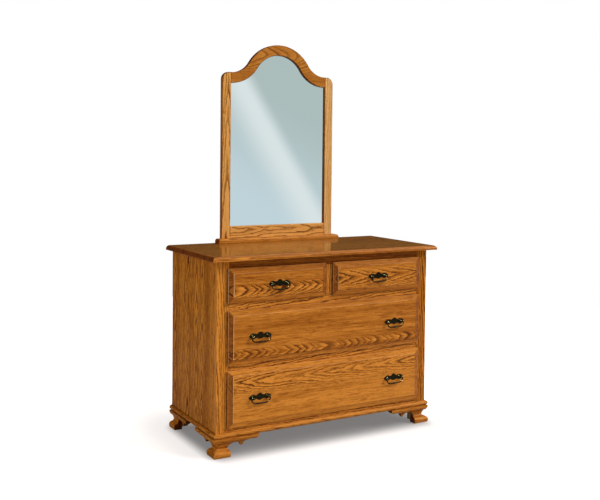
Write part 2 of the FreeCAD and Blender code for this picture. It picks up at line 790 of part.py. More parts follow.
def make_drawer(name, x, z, pull_places):
    """One drawer: lipped front, box, bottom and pulls."""
    gap = mm.side_gap
    fit = mm.panel_fit
    outer_x = (x[0] + gap, x[1] - gap)
    inner_x = (outer_x[0] + mm.box_thick, outer_x[1] - mm.box_thick)
    box_y = (face_y + mm.tongue_deep, back_y - mm.box_room)
    box_z = (z[0] + mm.run_gap, z[1] - mm.over_gap)
    slot_x = (inner_x[0] - mm.bottom_groove, inner_x[1] + mm.bottom_groove)
    slot_y = (box_y[0] - mm.bottom_groove, box_y[1])
    slot_z = (box_z[0] + mm.bottom_up, box_z[0] + mm.bottom_up + mm.bottom_thick)

    front_slot = board(f"{name}_front_slot", slot_x, slot_y, slot_z)
    side_slot = board(f"{name}_side_slot", slot_x, (slot_y[0], slot_y[1] + mm.overrun), slot_z)
    fixings = []
    tools = [front_slot]
    middle_z_of_front = (z[0] + z[1]) / 2
    for pull_name, pull_x in pull_places:
        parts, holes = make_pull(pull_name, pull_x, middle_z_of_front)
        fixings += parts
        tools.append(holes)
        make_bail(f"{pull_name}_bail", pull_x, middle_z_of_front)
    blank = raised_front(f"{name}_front", x, z)
    keep(cut(f"{name}_front", blank, group(f"{name}_front_tools", tools)))
    sides = [board(f"{name}_left_side", (outer_x[0], inner_x[0]), box_y, box_z),
             board(f"{name}_right_side", (inner_x[1], outer_x[1]), box_y, box_z)]
    keep(cut(f"{name}_sides", group(f"{name}_side_blanks", sides), side_slot))
    keep(board(f"{name}_back", inner_x, (box_y[1] - mm.box_thick, box_y[1]),
               (slot_z[1], box_z[1] - mm.box_back_drop)))
    keep(board(f"{name}_bottom", (slot_x[0] + fit, slot_x[1] - fit), (slot_y[0] + fit, slot_y[1]),
               (slot_z[0] + fit, slot_z[1] - fit)))
    keep(group(f"{name}_pull_plates", fixings))


def make_drawers():
    """Two narrow drawers over two wide ones."""
    upper_z_span = (upper_z, upper_top_z)
    pull_x = (half_opening + half_centre) / 2
    wide_x = (-half_opening, half_opening)
    make_drawer("upper_left_drawer", (-half_opening, -half_centre), upper_z_span,
                [("upper_left", -pull_x)])
    make_drawer("upper_right_drawer", (half_centre, half_opening), upper_z_span,
                [("upper_right", pull_x)])
    pull_x = half_opening - mm.wide_pull_in
    for name, z in (("middle", (middle_z, middle_top_z)), ("lower", (lower_z, lower_top_z))):
        make_drawer(f"{name}_drawer", wide_x, z, [(f"{name}_left", -pull_x),
                                                  (f"{name}_right", pull_x)])


def arch_corners(half_wide, low_z, inset):
    """Outline with the mirror's arched top, everywhere an inset inside its outer edge."""
    centre_x = mm.mirror_wide / 2 - mm.mirror_stile_wide - mm.shoulder_flat
    reach = (centre_x * centre_x + mm.arch_rise * mm.arch_rise) / (mm.arch_rise * 2)
    hollow = mm.hollow_radius
    outer = reach - hollow
    centre_z = mm.shoulder_high + hollow
    crown_z = mm.shoulder_high + mm.arch_rise - outer
    meet_x = centre_x * outer / reach
    meet_z = crown_z + (centre_z - crown_z) * outer / reach
    # The two arcs stay tangent at any inset, on the line through their centres.
    slide = inset / reach
    in_x = meet_x - centre_x * slide
    in_z = meet_z - (centre_z - crown_z) * slide
    flat_z = mm.shoulder_high - inset
    return [
        (-half_wide, low_z),
        (half_wide, low_z),
        (half_wide, flat_z),
        (centre_x, flat_z, -(hollow + inset)),
        (in_x, in_z, outer - inset),
        (-in_x, in_z, -(hollow + inset)),
        (-centre_x, flat_z),
        (-half_wide, flat_z),
    ]


def screw_set(name, fit, heights):
    """Screws on both braces at the given heights, larger all round by the fit."""
    outer_y = back_y + mm.brace_thick
    screws = []
    for number, z in enumerate(heights, start=1):
        shank = rod_out(f"{name}_shank_{number}", mm.screw_radius + fit, mm.screw_long + fit,
                        (-brace_x, outer_y, z))
        head = rod_out(f"{name}_head_{number}", mm.screw_head_radius + fit,
                       mm.screw_head_thick + fit, (-brace_x, outer_y, z))
        screw = join(f"{name}_screw_{number}", [shank, head])
        screws += [screw, mirrored(f"{name}_right_screw_{number}", screw)]
    return group(name, screws)


def make_mirror():
    """The mirror, its base strip and the braces that hold it."""
    half = mm.mirror_wide / 2
    keep(rounded_slab("mirror_base_strip", half + mm.strip_over, (back_y - mm.strip_deep, back_y),
                      (top_z, strip_z), mm.strip_round, mm.strip_round, STRIP_EDGE_SHARE))

    inner = half - mm.mirror_stile_wide
    front_y = back_y - mm.mirror_thick
    glass_y = front_y + mm.glass_back
    over = mm.overrun
    low_z = mm.mirror_rail_high - mm.glass_rabbet

    def planar(name, corners, y, thick):
        """A flat piece in the plane of the mirror, from its front face to its back."""
        body = new_body(name)
        pad(body, draw(new_sketch(body, f"{name}_outline", "XZ_Plane"), corners), thick, back=True)
        return move(body, ZERO, y, strip_z)

    rabbet_inset = mm.arch_band - mm.glass_rabbet
    rabbet = planar("glass_rabbet_tool", arch_corners(inner + mm.glass_rabbet, low_z, rabbet_inset),
                    glass_y, mm.mirror_thick - mm.glass_back + over)

    stile_holes = screw_set("stile_holes", mm.screw_fit, mirror_screws)
    round_off = mm.stile_round
    stile = planar("mirror_stile_blank", [
        (-inner, ZERO),
        (-inner, mm.shoulder_high),
        (round_off - half, mm.shoulder_high, round_off),
        (-half, mm.shoulder_high - round_off),
        (-half, ZERO),
    ], front_y, mm.mirror_thick)
    left = keep(cut("mirror_left_stile", stile, group("stile_tools", [rabbet, stile_holes])))
    keep(mirrored("mirror_right_stile", left))

    rail = board("mirror_rail_blank", (-inner, inner), (front_y, back_y),
                 (strip_z, strip_z + mm.mirror_rail_high))
    keep(cut("mirror_bottom_rail", rail, rabbet))

    outer_line = arch_corners(inner, ZERO, ZERO)[2:]
    inner_line = arch_corners(inner, ZERO, mm.arch_band)[2:]
    back_line = []
    for number, corner in enumerate(reversed(inner_line)):
        before = inner_line[-2 - number] if number < len(inner_line) - 1 else (ZERO, ZERO)
        bend = before[2:]
        back_line.append((corner[0], corner[1], *(-b for b in bend)))
    arch = planar("mirror_arch_blank", outer_line + back_line, front_y, mm.mirror_thick)
    keep(cut("mirror_arch_rail", arch, rabbet))

    fit = mm.glass_fit
    pane = arch_corners(inner + mm.glass_rabbet - fit, low_z + fit, rabbet_inset + fit)
    keep(planar("mirror_glass", pane, glass_y, mm.glass_thick))
    board_y = glass_y + mm.glass_thick
    keep(planar("mirror_back_board", pane, board_y, back_y - board_y))

    half_brace = mm.brace_wide / 2
    brace = board("left_brace", (-(brace_x + half_brace), half_brace - brace_x),
                  (back_y, back_y + mm.brace_thick), brace_z)
    braces = group("brace_blanks", [brace, mirrored("right_brace", brace)])
    screws = case_screws + mirror_screws
    keep(cut("mirror_braces", braces, screw_set("brace_holes", mm.screw_fit, screws)))
    keep(screw_set("brace_screws", ZERO, screws))


def check_document():
    """Stop where any object failed, or any piece is empty or not valid."""
    for obj in doc.Objects:
        if "Invalid" in obj.State or "Error" in obj.State:
            raise RuntimeError(f"{obj.Name} failed")
    for piece in pieces:
        if piece.Shape.isNull() or not piece.Shape.isValid() or not piece.Shape.Solids:
            raise RuntimeError(f"{piece.Label} has no valid solid")


make_case()
make_web_frames()
make_base()
make_feet()
make_drawers()
make_mirror()
doc.recompute()
check_document()
os.makedirs("parts", exist_ok=True)
for piece in pieces:
    piece.Shape.exportStep(f"parts/{piece.Label}.step")
    print(piece.Label, len(piece.Shape.Solids), round(piece.Shape.Volume))
print(len(pieces), "pieces")
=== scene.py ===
"""An oak dresser with a fixed arched mirror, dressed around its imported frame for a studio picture."""

import json
import logging
import math
from collections.abc import Callable, Iterator, Sequence
from contextlib import contextmanager
from dataclasses import dataclass, field, replace
from enum import Enum
from functools import reduce

import bmesh
import bpy
from mathutils import Matrix, Vector

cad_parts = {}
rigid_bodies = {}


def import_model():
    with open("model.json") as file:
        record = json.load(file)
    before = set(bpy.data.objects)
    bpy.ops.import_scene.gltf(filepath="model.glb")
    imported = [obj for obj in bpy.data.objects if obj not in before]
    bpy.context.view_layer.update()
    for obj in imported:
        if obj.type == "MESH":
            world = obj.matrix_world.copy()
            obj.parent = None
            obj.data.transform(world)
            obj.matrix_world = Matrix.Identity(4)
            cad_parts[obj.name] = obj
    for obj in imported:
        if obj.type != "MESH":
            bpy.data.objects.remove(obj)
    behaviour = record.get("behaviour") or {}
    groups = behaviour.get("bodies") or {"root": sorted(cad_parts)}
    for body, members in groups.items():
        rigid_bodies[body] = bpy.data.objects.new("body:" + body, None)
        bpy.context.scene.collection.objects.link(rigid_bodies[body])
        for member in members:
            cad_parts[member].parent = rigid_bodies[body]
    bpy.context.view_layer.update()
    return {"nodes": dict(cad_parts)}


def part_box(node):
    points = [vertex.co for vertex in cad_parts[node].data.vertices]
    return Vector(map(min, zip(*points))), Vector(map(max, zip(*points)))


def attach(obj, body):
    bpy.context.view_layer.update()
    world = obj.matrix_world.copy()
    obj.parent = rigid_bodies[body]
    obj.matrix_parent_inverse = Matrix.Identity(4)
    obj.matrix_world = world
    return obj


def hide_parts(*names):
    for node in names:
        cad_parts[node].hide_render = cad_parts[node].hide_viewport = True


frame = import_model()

log = logging.getLogger("dresser")

Place = Sequence[float]
Colour = tuple[float, float, float]
Steps = tuple[float, ...]
Piece = bpy.types.Object
Edge = bmesh.types.BMEdge
Test = Callable[..., bool]

MM = 0.001
OVERRUN = 5 * MM
TOUCHING = 0.01 * MM
X, Y, Z = range(3)
QUARTER_TURN = math.radians(90)
CORNER_ANGLE = math.radians(25)
FACING = 0.99
FLIP = Matrix.Scale(-1, 4, (1, 0, 0))

# Painted light on the narrow eased faces of the drawer fronts: a painted highlight on faces that look left or
# up, painted shade on faces that look right or down.
PAINTED_EDGE_LIGHT = "rubbed"
PAINTED_EDGE_WIDTH = 2 * MM
PAINTED_HIGHLIGHT_LEFT = 1.5
PAINTED_HIGHLIGHT_ABOVE = 0.35
PAINTED_SHADE_RIGHT = 0.25
PAINTED_SHADE_BELOW = 0.95


# Modelling


class Pick(Enum):
    """What a selection in edit mode is made of."""

    POINTS = "VERT"
    EDGES = "EDGE"
    FACES = "FACE"


def deselect_all() -> None:
    """Leave nothing selected, since the next operator acts on all that is."""
    bpy.ops.object.select_all(action="DESELECT")


def take(piece: Piece) -> None:
    """Make one piece the selected and active one.

    Args:
        piece: The piece.
    """
    deselect_all()
    piece.select_set(True)
    bpy.context.view_layer.objects.active = piece


def new_piece(name: str) -> Piece:
    """Name the primitive that was just added, and put its place into its mesh.

    Args:
        name: The piece's name.

    Returns:
        The piece, with its object at the origin.
    """
    piece = bpy.context.active_object
    piece.name = name
    piece.data.name = name
    bpy.ops.object.transform_apply(location=True, rotation=True, scale=True)
    return piece


@contextmanager
def shaping(piece: Piece) -> Iterator[None]:
    """Edit mode on one piece, with normals recalculated on the way out.

    Args:
        piece: The piece to shape.

    Yields:
        Nothing; edit mode lasts as long as the block.
    """
    take(piece)
    bpy.ops.object.mode_set(mode="EDIT")
    bpy.ops.mesh.select_all(action="SELECT")
    yield
    bpy.ops.mesh.select_all(action="SELECT")
    bpy.ops.mesh.normals_make_consistent(inside=False)
    bpy.ops.object.mode_set(mode="OBJECT")


def pick(kind: Pick, test: Test) -> None:
    """Select what passes a test on the piece in edit mode.

    Args:
        kind: Points, edges or faces.
        test: Says whether one point, edge or face is wanted.
    """
    bpy.ops.mesh.select_mode(type=kind.value)
    bpy.ops.mesh.select_all(action="DESELECT")
    mesh = bpy.context.edit_object.data
    cast = bmesh.from_edit_mesh(mesh)
    items = {Pick.POINTS: cast.verts, Pick.EDGES: cast.edges, Pick.FACES: cast.faces}[kind]
    for item in [item for item in items if test(item)]:
        item.select_set(True)
    cast.select_flush_mode()
    bmesh.update_edit_mesh(mesh)


def facing(way: Place) -> Test:
    """A test for faces that look one way."""
    return lambda face: face.normal.dot(Vector(way)) > FACING


def lies_at(edge: Edge, axis: int, level: float) -> bool:
    """Whether an edge lies wholly at one level of an axis."""
    return all(abs(point.co[axis] - level) < TOUCHING for point in edge.verts)


def sharp(edge: Edge) -> bool:
    """Whether an edge is a corner of the piece."""
    return len(edge.link_faces) == 2 and edge.calc_face_angle(0) > CORNER_ANGLE


def add_block(name: str, low: Place, high: Place) -> Piece:
    """A block between two corners.

    Args:
        name: The piece's name.
        low: Its lowest corner.
        high: Its highest corner.

    Returns:
        The block.
    """
    deselect_all()
    low, high = Vector(low), Vector(high)
    bpy.ops.mesh.primitive_cube_add(size=1, location=(low + high) / 2, scale=high - low)
    return new_piece(name)


def bevel(offset: float, segments: int = 2) -> None:
    """Bevel the selected edges."""
    bpy.ops.mesh.bevel(offset=offset, segments=segments, affect="EDGES", clamp_overlap=True)


def mark_painted_edge_light() -> None:
    """Mark the narrow faces of a new bevel with painted light: a painted highlight at the left and on top,
    painted shade at the right and below.
    """
    mesh = bpy.context.edit_object.data
    cast = bmesh.from_edit_mesh(mesh)
    layer = cast.faces.layers.float.new(PAINTED_EDGE_LIGHT)
    for face in cast.faces:
        if face.select and min(edge.calc_length() for edge in face.edges) < PAINTED_EDGE_WIDTH:
            # Painted highlight for faces that look left or up, painted shade for faces that look right or
            # down.
            right, up = face.normal.x, face.normal.z
            pale = min(1.0, PAINTED_HIGHLIGHT_LEFT * max(0.0, -right)) + PAINTED_HIGHLIGHT_ABOVE * max(0.0, up)
            face[layer] = pale - PAINTED_SHADE_RIGHT * max(0.0, right) - PAINTED_SHADE_BELOW * max(0.0, -up)
    bmesh.update_edit_mesh(mesh)


def modify(piece: Piece, kind: str, **settings: object) -> None:
    """Give a piece a modifier and apply it.

    Args:
        piece: The piece.
        kind: The modifier's type.
        **settings: Its settings.
    """
    take(piece)
    bpy.ops.object.modifier_add(type=kind)
    modifier = piece.modifiers[-1]
    for name, value in settings.items():
        setattr(modifier, name, value)
    bpy.ops.object.modifier_apply(modifier=modifier.name)


def polish(piece: Piece, angle: float = 32) -> None:
    """Shade smooth but for true corners, and keep broad faces flat.

    Args:
        piece: The piece.
        angle: In degrees, from which an edge stays sharp.
    """
    take(piece)
    bpy.ops.object.shade_smooth_by_angle(angle=math.radians(angle))
    modify(piece, "WEIGHTED_NORMAL", keep_sharp=True)


def board(name: str, low: Place, high: Place, ease: float = 1.2 * MM) -> Piece:
    """A board with its edges eased.

    Args:
        name: The piece's name.
        low: Its lowest corner.
        high: Its highest corner.
        ease: Width of the easing.

    Returns:
        The board.
    """
    piece = add_block(name, low, high)
    with shaping(piece):
        bevel(ease, segments=3)
    polish(piece)
    return piece


def trace(name: str, points: Sequence[Place]) -> Piece:
    """Draw an outline point by point with extrusions, and fill it.

    Args:
        name: The piece's name.
        points: The corners in order, not closed.

    Returns:
        A flat piece with one face.
    """
    deselect_all()
    points = [Vector(point) for point in points]
    bpy.ops.mesh.primitive_plane_add(size=MM, location=points[0])
    piece = new_piece(name)
    with shaping(piece):
        pick(Pick.POINTS, lambda point: point.index > 0)
        bpy.ops.mesh.delete(type="VERT")
        pick(Pick.POINTS, lambda point: True)
        start = points[0] - bmesh.from_edit_mesh(piece.data).verts[:][0].co
        bpy.ops.transform.translate(value=start)
        for before, after in zip(points, points[1:]):
            bpy.ops.mesh.extrude_region_move(TRANSFORM_OT_translate={"value": after - before})
        pick(Pick.POINTS, lambda point: len(point.link_edges) == 1)
        bpy.ops.mesh.edge_face_add()
        bpy.ops.mesh.select_all(action="SELECT")
        bpy.ops.mesh.edge_face_add()
    return piece


def extrude(by: Place) -> None:
    """Extrude what is selected."""
    bpy.ops.mesh.extrude_region_move(TRANSFORM_OT_translate={"value": Vector(by)})


def sawn(name: str, line: Sequence[Place], front: float, thick: float) -> Piece:
    """A board sawn to an outline, its face to the front.

    Args:
        name: The piece's name.
        line: The outline's points, across and up.
        front: Where its face lies along Y.
        thick: Its thickness.

    Returns:
        The board.
    """
    piece = trace(name, [(across, front, up) for across, up in line])
    with shaping(piece):
        extrude((0, thick, 0))
    return piece


def cut_off(through: Place, outwards: Place) -> None:
    """Saw the piece in edit mode along a plane, and close it.

    Args:
        through: A point on the plane.
        outwards: The side that is cut away.
    """
    bpy.ops.mesh.select_all(action="SELECT")
    bpy.ops.mesh.bisect(plane_co=through, plane_no=outwards, use_fill=True, clear_outer=True)


def arc(start: Place, end: Place, roundness: float, steps: int) -> list[Vector]:
    """Points along an arc after its start.

    Args:
        start: Where the arc starts, in two coordinates.
        end: Where it ends.
        roundness: Tangent of a quarter of its angle, minus where it turns right; 0 is a line.
        steps: How many points.

    Returns:
        The points, with the end as the last.
    """
    start, end = Vector(start), Vector(end)
    if roundness == 0:
        return [end]
    chord = end - start
    side = Vector((-chord.y, chord.x))
    centre = (start + end) / 2 + side * (1 - roundness**2) / (4 * roundness)
    sweep = 4 * math.atan(roundness)
    arm = start - centre
    return [centre + Matrix.Rotation(sweep * step / steps, 2) @ arm for step in range(1, steps + 1)]


def outline(corners: Sequence[tuple], steps: int) -> list[Vector]:
    """Flatten a closed line of corners, each with the roundness of the stretch after it, into points.

    Args:
        corners: (across, up) or (across, up, roundness).
        steps: Points on each arc.

    Returns:
        The points in two coordinates.
    """
    points = [Vector(corners[0][:2])]
    for corner, following in zip(corners, (*corners[1:], corners[0])):
        roundness = corner[2] if len(corner) > 2 else 0
        points += arc(corner[:2], following[:2], roundness, steps)
    return points[:-1]


def twin(piece: Piece, name: str, change: Matrix) -> Piece:
    """A copy with its own mesh, moved or mirrored.

    Args:
        piece: The finished piece.
        name: The copy's name.
        change: How the copy's mesh is moved.

    Returns:
        The copy.
    """
    copy = piece.copy()
    copy.data = piece.data.copy()
    copy.name = copy.data.name = name
    bpy.context.scene.collection.objects.link(copy)
    copy.data.transform(change)
    if change.determinant() < 0:
        take(copy)
        bpy.ops.object.mode_set(mode="EDIT")
        bpy.ops.mesh.select_all(action="SELECT")
        bpy.ops.mesh.flip_normals()
        bpy.ops.object.mode_set(mode="OBJECT")
        polish(copy)
    return copy


def join(pieces: Sequence[Piece], name: str) -> Piece:
    """Several pieces as one.

    Args:
        pieces: The pieces, of which the first stays.
        name: The new name.

    Returns:
        The joined piece.
    """
    take(pieces[0])
    for piece in pieces[1:]:
        piece.select_set(True)
    bpy.ops.object.join()
    pieces[0].name = pieces[0].data.name = name
    return pieces[0]


def carve(piece: Piece, tool: Piece) -> None:
    """Cut a tool's shape out of a piece, and throw the tool away."""
    modify(piece, "BOOLEAN", operation="DIFFERENCE", solver="EXACT", object=tool)
    bpy.data.objects.remove(tool)


def turned(name: str, base: Place, profile: Sequence[tuple[float, float]], sides: int) -> Piece:
    """A round piece whose axis runs to the front, built up ring by ring.

    Args:
        name: The piece's name.
        base: Where its axis starts.
        profile: (radius, distance to the front) of each ring.
        sides: How many sides the rings have.

    Returns:
        The piece.
    """
    deselect_all()
    base = Vector(base)
    radius, out = profile[0]
    centre = base + Vector((0, -out, 0))
    bpy.ops.mesh.primitive_circle_add(
        vertices=sides, radius=radius, fill_type="NGON", location=centre, rotation=(QUARTER_TURN, 0, 0)
    )
    piece = new_piece(name)
    with shaping(piece):
        for after, further in profile[1:]:
            extrude((0, out - further, 0))
            centre = base + Vector((0, -further, 0))
            share = after / radius
            bpy.ops.transform.resize(value=(share, share, share), center_override=centre)
            radius, out = after, further
    return piece


# Finishes


Socket = bpy.types.NodeSocket
Sockets = bpy.types.bpy_prop_collection
Feed = Socket | float | Sequence[float]


@dataclass(frozen=True)
class Pattern:
    """Soft noise: how many times a metre it changes along each axis, and how fine it is."""

    scale: Place
    seed: float = 0.0
    detail: float = 0.0
    rough: float = 0.5


class Wiring:
    """Adds nodes to one tree and joins them."""

    FIRST_COLOUR, SECOND_COLOUR, MIXED_COLOUR = 6, 7, 2

    def __init__(self, tree: bpy.types.NodeTree) -> None:
        """Start on a tree."""
        self.tree = tree

    def feed(self, sockets: Sockets, feeds: dict[int | str, Feed]) -> None:
        """Join each socket to another, or set it.

        Args:
            sockets: A node's inputs.
            feeds: What they get, by number or name.
        """
        for key, value in feeds.items():
            socket = sockets[key]
            if isinstance(value, bpy.types.NodeSocket):
                self.tree.links.new(value, socket)
            elif hasattr(socket.default_value, "__len__") and len(socket.default_value) == 4:
                socket.default_value = (*value, 1)
            else:
                socket.default_value = value

    def add(self, kind: str, feeds: dict[int | str, Feed] | None = None, **settings: object) -> Sockets:
        """Add a node.

        Args:
            kind: The node's type.
            feeds: What its inputs get.
            **settings: Properties to set on it.

        Returns:
            Its outputs.
        """
        node = self.tree.nodes.new(kind)
        for name, value in settings.items():
            setattr(node, name, value)
        self.feed(node.inputs, feeds or {})
        return node.outputs

    def maths(self, operation: str, *values: Feed) -> Socket:
        """A sum on numbers."""
        return self.add("ShaderNodeMath", dict(enumerate(values)), operation=operation)[0]

    def multiplied(self, *values: Feed) -> Socket:
        """The product of several numbers."""
        return reduce(lambda first, second: self.maths("MULTIPLY", first, second), values)

    def noise(self, vector: Feed, pattern: Pattern, seed: Feed = 0.0) -> Socket:
        """Soft noise between 0 and 1.

        Args:
            vector: Where it is read.
            pattern: Its scale and fineness.
            seed: Tells one board from another.

        Returns:
            The noise.
        """
        place = self.add("ShaderNodeVectorMath", {0: vector, 1: pattern.scale}, operation="MULTIPLY")[0]
        feeds = {"Vector": place, "W": self.maths("ADD", seed, pattern.seed), "Scale": 1.0,
                 "Detail": pattern.detail, "Roughness": pattern.rough}
        return self.add("ShaderNodeTexNoise", feeds, noise_dimensions="4D")[0]

    def chance(self, number: Feed) -> Sockets:
        """A fixed value and colour for each whole number, with no order among them."""
        return self.add("ShaderNodeTexWhiteNoise", {"W": number}, noise_dimensions="1D")

    def ease(self, value: Feed, low: float, high: float, to_low: float = 0, to_high: float = 1) -> Socket:
        """A smooth step of a value between two levels."""
        feeds = {"Value": value, "From Min": low, "From Max": high, "To Min": to_low, "To Max": to_high}
        return self.add("ShaderNodeMapRange", feeds, interpolation_type="SMOOTHSTEP")[0]

    def blend(self, share: Feed, first: Feed, second: Feed, mode: str = "MIX") -> Socket:
        """Two colours mixed by a share."""
        feeds = {"Factor": share, self.FIRST_COLOUR: first, self.SECOND_COLOUR: second}
        return self.add("ShaderNodeMix", feeds, data_type="RGBA", blend_type=mode)[self.MIXED_COLOUR]

    def split(self, vector: Feed) -> list[Socket]:
        """The three coordinates of a place."""
        return list(self.add("ShaderNodeSeparateXYZ", {0: vector}))

    def spot(self) -> Socket:
        """Where a point of the surface lies in the frame."""
        return self.add("ShaderNodeTexCoord")["Object"]

    def relief(self, height: Feed, distance: float) -> Socket:
        """The normal of a fine relief."""
        return self.add("ShaderNodeBump", {"Height": height, "Distance": distance})["Normal"]

    def seen_directly(self) -> Socket:
        """Tell what is seen from what lights the object.

        Returns:
            One for rays from the camera, a mirror or glass, and zero for others.
        """
        path = self.add("ShaderNodeLightPath")
        either = self.maths("MAXIMUM", path["Is Camera Ray"], path["Is Glossy Ray"])
        return self.maths("MAXIMUM", either, path["Is Transmission Ray"])


def new_group(name: str, inputs: dict[str, str], outputs: dict[str, str]) -> tuple[Wiring, Sockets, Sockets]:
    """An empty node group.

    Args:
        name: Its name.
        inputs: Socket types by name.
        outputs: Socket types by name.

    Returns:
        Its wiring, what comes in and what goes out.
    """
    tree = bpy.data.node_groups.new(name, "ShaderNodeTree")
    for way, sockets in (("INPUT", inputs), ("OUTPUT", outputs)):
        for label, kind in sockets.items():
            tree.interface.new_socket(label, in_out=way, socket_type=f"NodeSocket{kind}")
    wires = Wiring(tree)
    return wires, wires.add("NodeGroupInput"), tree.nodes.new("NodeGroupOutput").inputs


def new_material(name: str) -> tuple[bpy.types.Material, Wiring, Sockets]:
    """A new material.

    Args:
        name: Its name.

    Returns:
        The material, its wiring and its shader's inputs.
    """
    made = bpy.data.materials.new(name)
    made.use_nodes = True
    return made, Wiring(made.node_tree), made.node_tree.nodes["Principled BSDF"].inputs


def make_stave_group(shift_along: float = 7.0, shift_deep: float = 30 * MM) -> bpy.types.NodeTree:
    """Splits a panel into glued staves, each from another part of the tree.

    Args:
        shift_along: The most that a stave's figure is moved along the grain.
        shift_deep: The most that it is moved into the board.

    Returns:
        The node group.
    """
    wires, into, out = new_group(
        "glued staves",
        {"Vector": "Vector", "Width": "Float", "Start": "Float", "Seed": "Float"},
        {"Vector": "Vector", "Tone": "Float"},
    )
    maths = wires.maths
    along, across, depth = wires.split(into["Vector"])
    stave = maths("DIVIDE", maths("SUBTRACT", across, into["Start"]), into["Width"])
    chance = wires.chance(maths("ADD", maths("FLOOR", stave), into["Seed"]))
    first, second, third = wires.split(chance["Color"])
    local = maths("MULTIPLY", maths("SUBTRACT", maths("FRACT", stave), second), into["Width"])
    further = maths("MULTIPLY_ADD", first, shift_along, along)
    deeper = maths("MULTIPLY_ADD", third, shift_deep, depth)
    moved = wires.add("ShaderNodeCombineXYZ", {"X": further, "Y": local, "Z": deeper})["Vector"]
    wires.feed(out, {"Vector": moved, "Tone": chance["Value"]})
    return wires.tree


@dataclass(frozen=True)
class Growth:
    """How the rings, pores and fibres of oak show on a sawn face, the same on every board."""

    drift: Pattern = Pattern((1.6, 4.5, 4.5), 0.0, 1)
    wander: Pattern = Pattern((5.5, 16, 16), 7.3, 2)
    jags: Pattern = Pattern((45, 330, 330), 3.1, 2)
    dashes: Pattern = Pattern((55, 1500, 1500), 11.9)
    flecks: Pattern = Pattern((20, 170, 170), 14.2, 2, 0.6)
    fibre: Pattern = Pattern((10, 140, 140), 5.7, 4, 0.65)
    clouds: Pattern = Pattern((1.3, 40, 40), 9.5, 2)
    crest_width: float = 30 * MM
    crest_point: float = 0.12
    bend_beside: float = 0.3
    year_pace: float = 0.37
    year_swing: float = 1.6
    ring_chance: float = 0.7
    ring_least: float = 0.6
    early_starts: Steps = (0, 0.06)
    early_ends: Steps = (0.12, 0.5, 1, 0)
    early_fades: Steps = (0.35, 1.35, 1.1, 0.3)
    late_starts: Steps = (0.5, 0.95)
    late_fades: Steps = (0.35, 1.35, 1.0, 0.0)
    broad_side: float = 0.55
    dash_edges: Steps = (0.54, 0.68)
    fleck_edges: Steps = (0.5, 0.66)
    pores_early: float = 0.8
    pores_least: float = 0.22
    fibre_relief: float = 0.25


def make_figure_group(growth: Growth) -> bpy.types.NodeTree:
    """Growth rings of a plain-sawn oak board: arches where the saw grazed them, straight lines beside.

    Args:
        growth: How the rings show.

    Returns:
        The node group. Its vector runs along the grain, across the board and into its thickness.
    """
    numbers = ("Seed", "Ring", "Pith Across", "Pith Depth", "Taper", "Sway", "Wander", "Jag", "Strength",
               "Reach")
    masks = ("Early Wood", "Late Wood", "Pores", "Flecks", "Fibre", "Cloud", "Height")
    inputs = {"Vector": "Vector", **dict.fromkeys(numbers, "Float")}
    wires, into, out = new_group("oak figure", inputs, dict.fromkeys(masks, "Float"))
    maths, ease = wires.maths, wires.ease
    along, across, depth = wires.split(into["Vector"])

    def noise(pattern: Pattern) -> Socket:
        """One of the board's patterns."""
        return wires.noise(into["Vector"], pattern, into["Seed"])

    def swing(pattern: Pattern) -> Socket:
        """A pattern that swings about zero."""
        return maths("SUBTRACT", noise(pattern), 0.5)

    from_pith = maths("SUBTRACT", across, into["Pith Across"])
    from_pith = maths("MULTIPLY_ADD", swing(growth.drift), into["Sway"], from_pith)
    distance = maths("ABSOLUTE", from_pith)
    deep = maths("ADD", depth, into["Pith Depth"])
    radius = maths("SQRT", maths("MULTIPLY_ADD", deep, deep, maths("MULTIPLY", from_pith, from_pith)))
    crest = maths("MINIMUM", distance, growth.crest_width)
    radius = maths("MULTIPLY_ADD", crest, growth.crest_point, radius)
    beside = maths("MAXIMUM", maths("SUBTRACT", distance, into["Reach"]), 0.0)
    radius = maths("MULTIPLY_ADD", beside, growth.bend_beside, radius)
    radius = maths("MULTIPLY_ADD", along, into["Taper"], radius)
    count = maths("DIVIDE", radius, into["Ring"])
    count = maths("MULTIPLY_ADD", swing(growth.wander), into["Wander"], count)
    count = maths("MULTIPLY_ADD", swing(growth.jags), into["Jag"], count)
    pace = maths("MULTIPLY_ADD", count, growth.year_pace, into["Seed"])
    years = wires.add("ShaderNodeTexNoise", {"W": pace, "Scale": 1.0, "Detail": 1.0}, noise_dimensions="1D")
    count = maths("MULTIPLY_ADD", years[0], growth.year_swing, count)
    ring_part = maths("FRACT", count)
    chance = wires.chance(maths("ADD", maths("FLOOR", count), into["Seed"]))["Value"]
    bold = maths("MULTIPLY_ADD", chance, growth.ring_chance, growth.ring_least)
    broad = maths("MULTIPLY", from_pith, growth.broad_side)
    spread = maths("DIVIDE", maths("MAXIMUM", broad, maths("MULTIPLY", from_pith, -1.0)), into["Reach"])
    early = wires.multiplied(ease(ring_part, *growth.early_starts), ease(ring_part, *growth.early_ends), bold,
                             into["Strength"], ease(spread, *growth.early_fades))
    late = wires.multiplied(ease(ring_part, *growth.late_starts), ease(spread, *growth.late_fades),
                            into["Strength"])
    pores = maths("MULTIPLY", ease(noise(growth.dashes), *growth.dash_edges),
                  maths("MULTIPLY_ADD", early, growth.pores_early, growth.pores_least))
    flecks = ease(noise(growth.flecks), *growth.fleck_edges)
    fibre = noise(growth.fibre)
    height = maths("SUBTRACT", maths("MULTIPLY", fibre, growth.fibre_relief), pores)
    wires.feed(out, dict(zip(masks, (early, late, pores, flecks, fibre, noise(growth.clouds), height))))
    return wires.tree


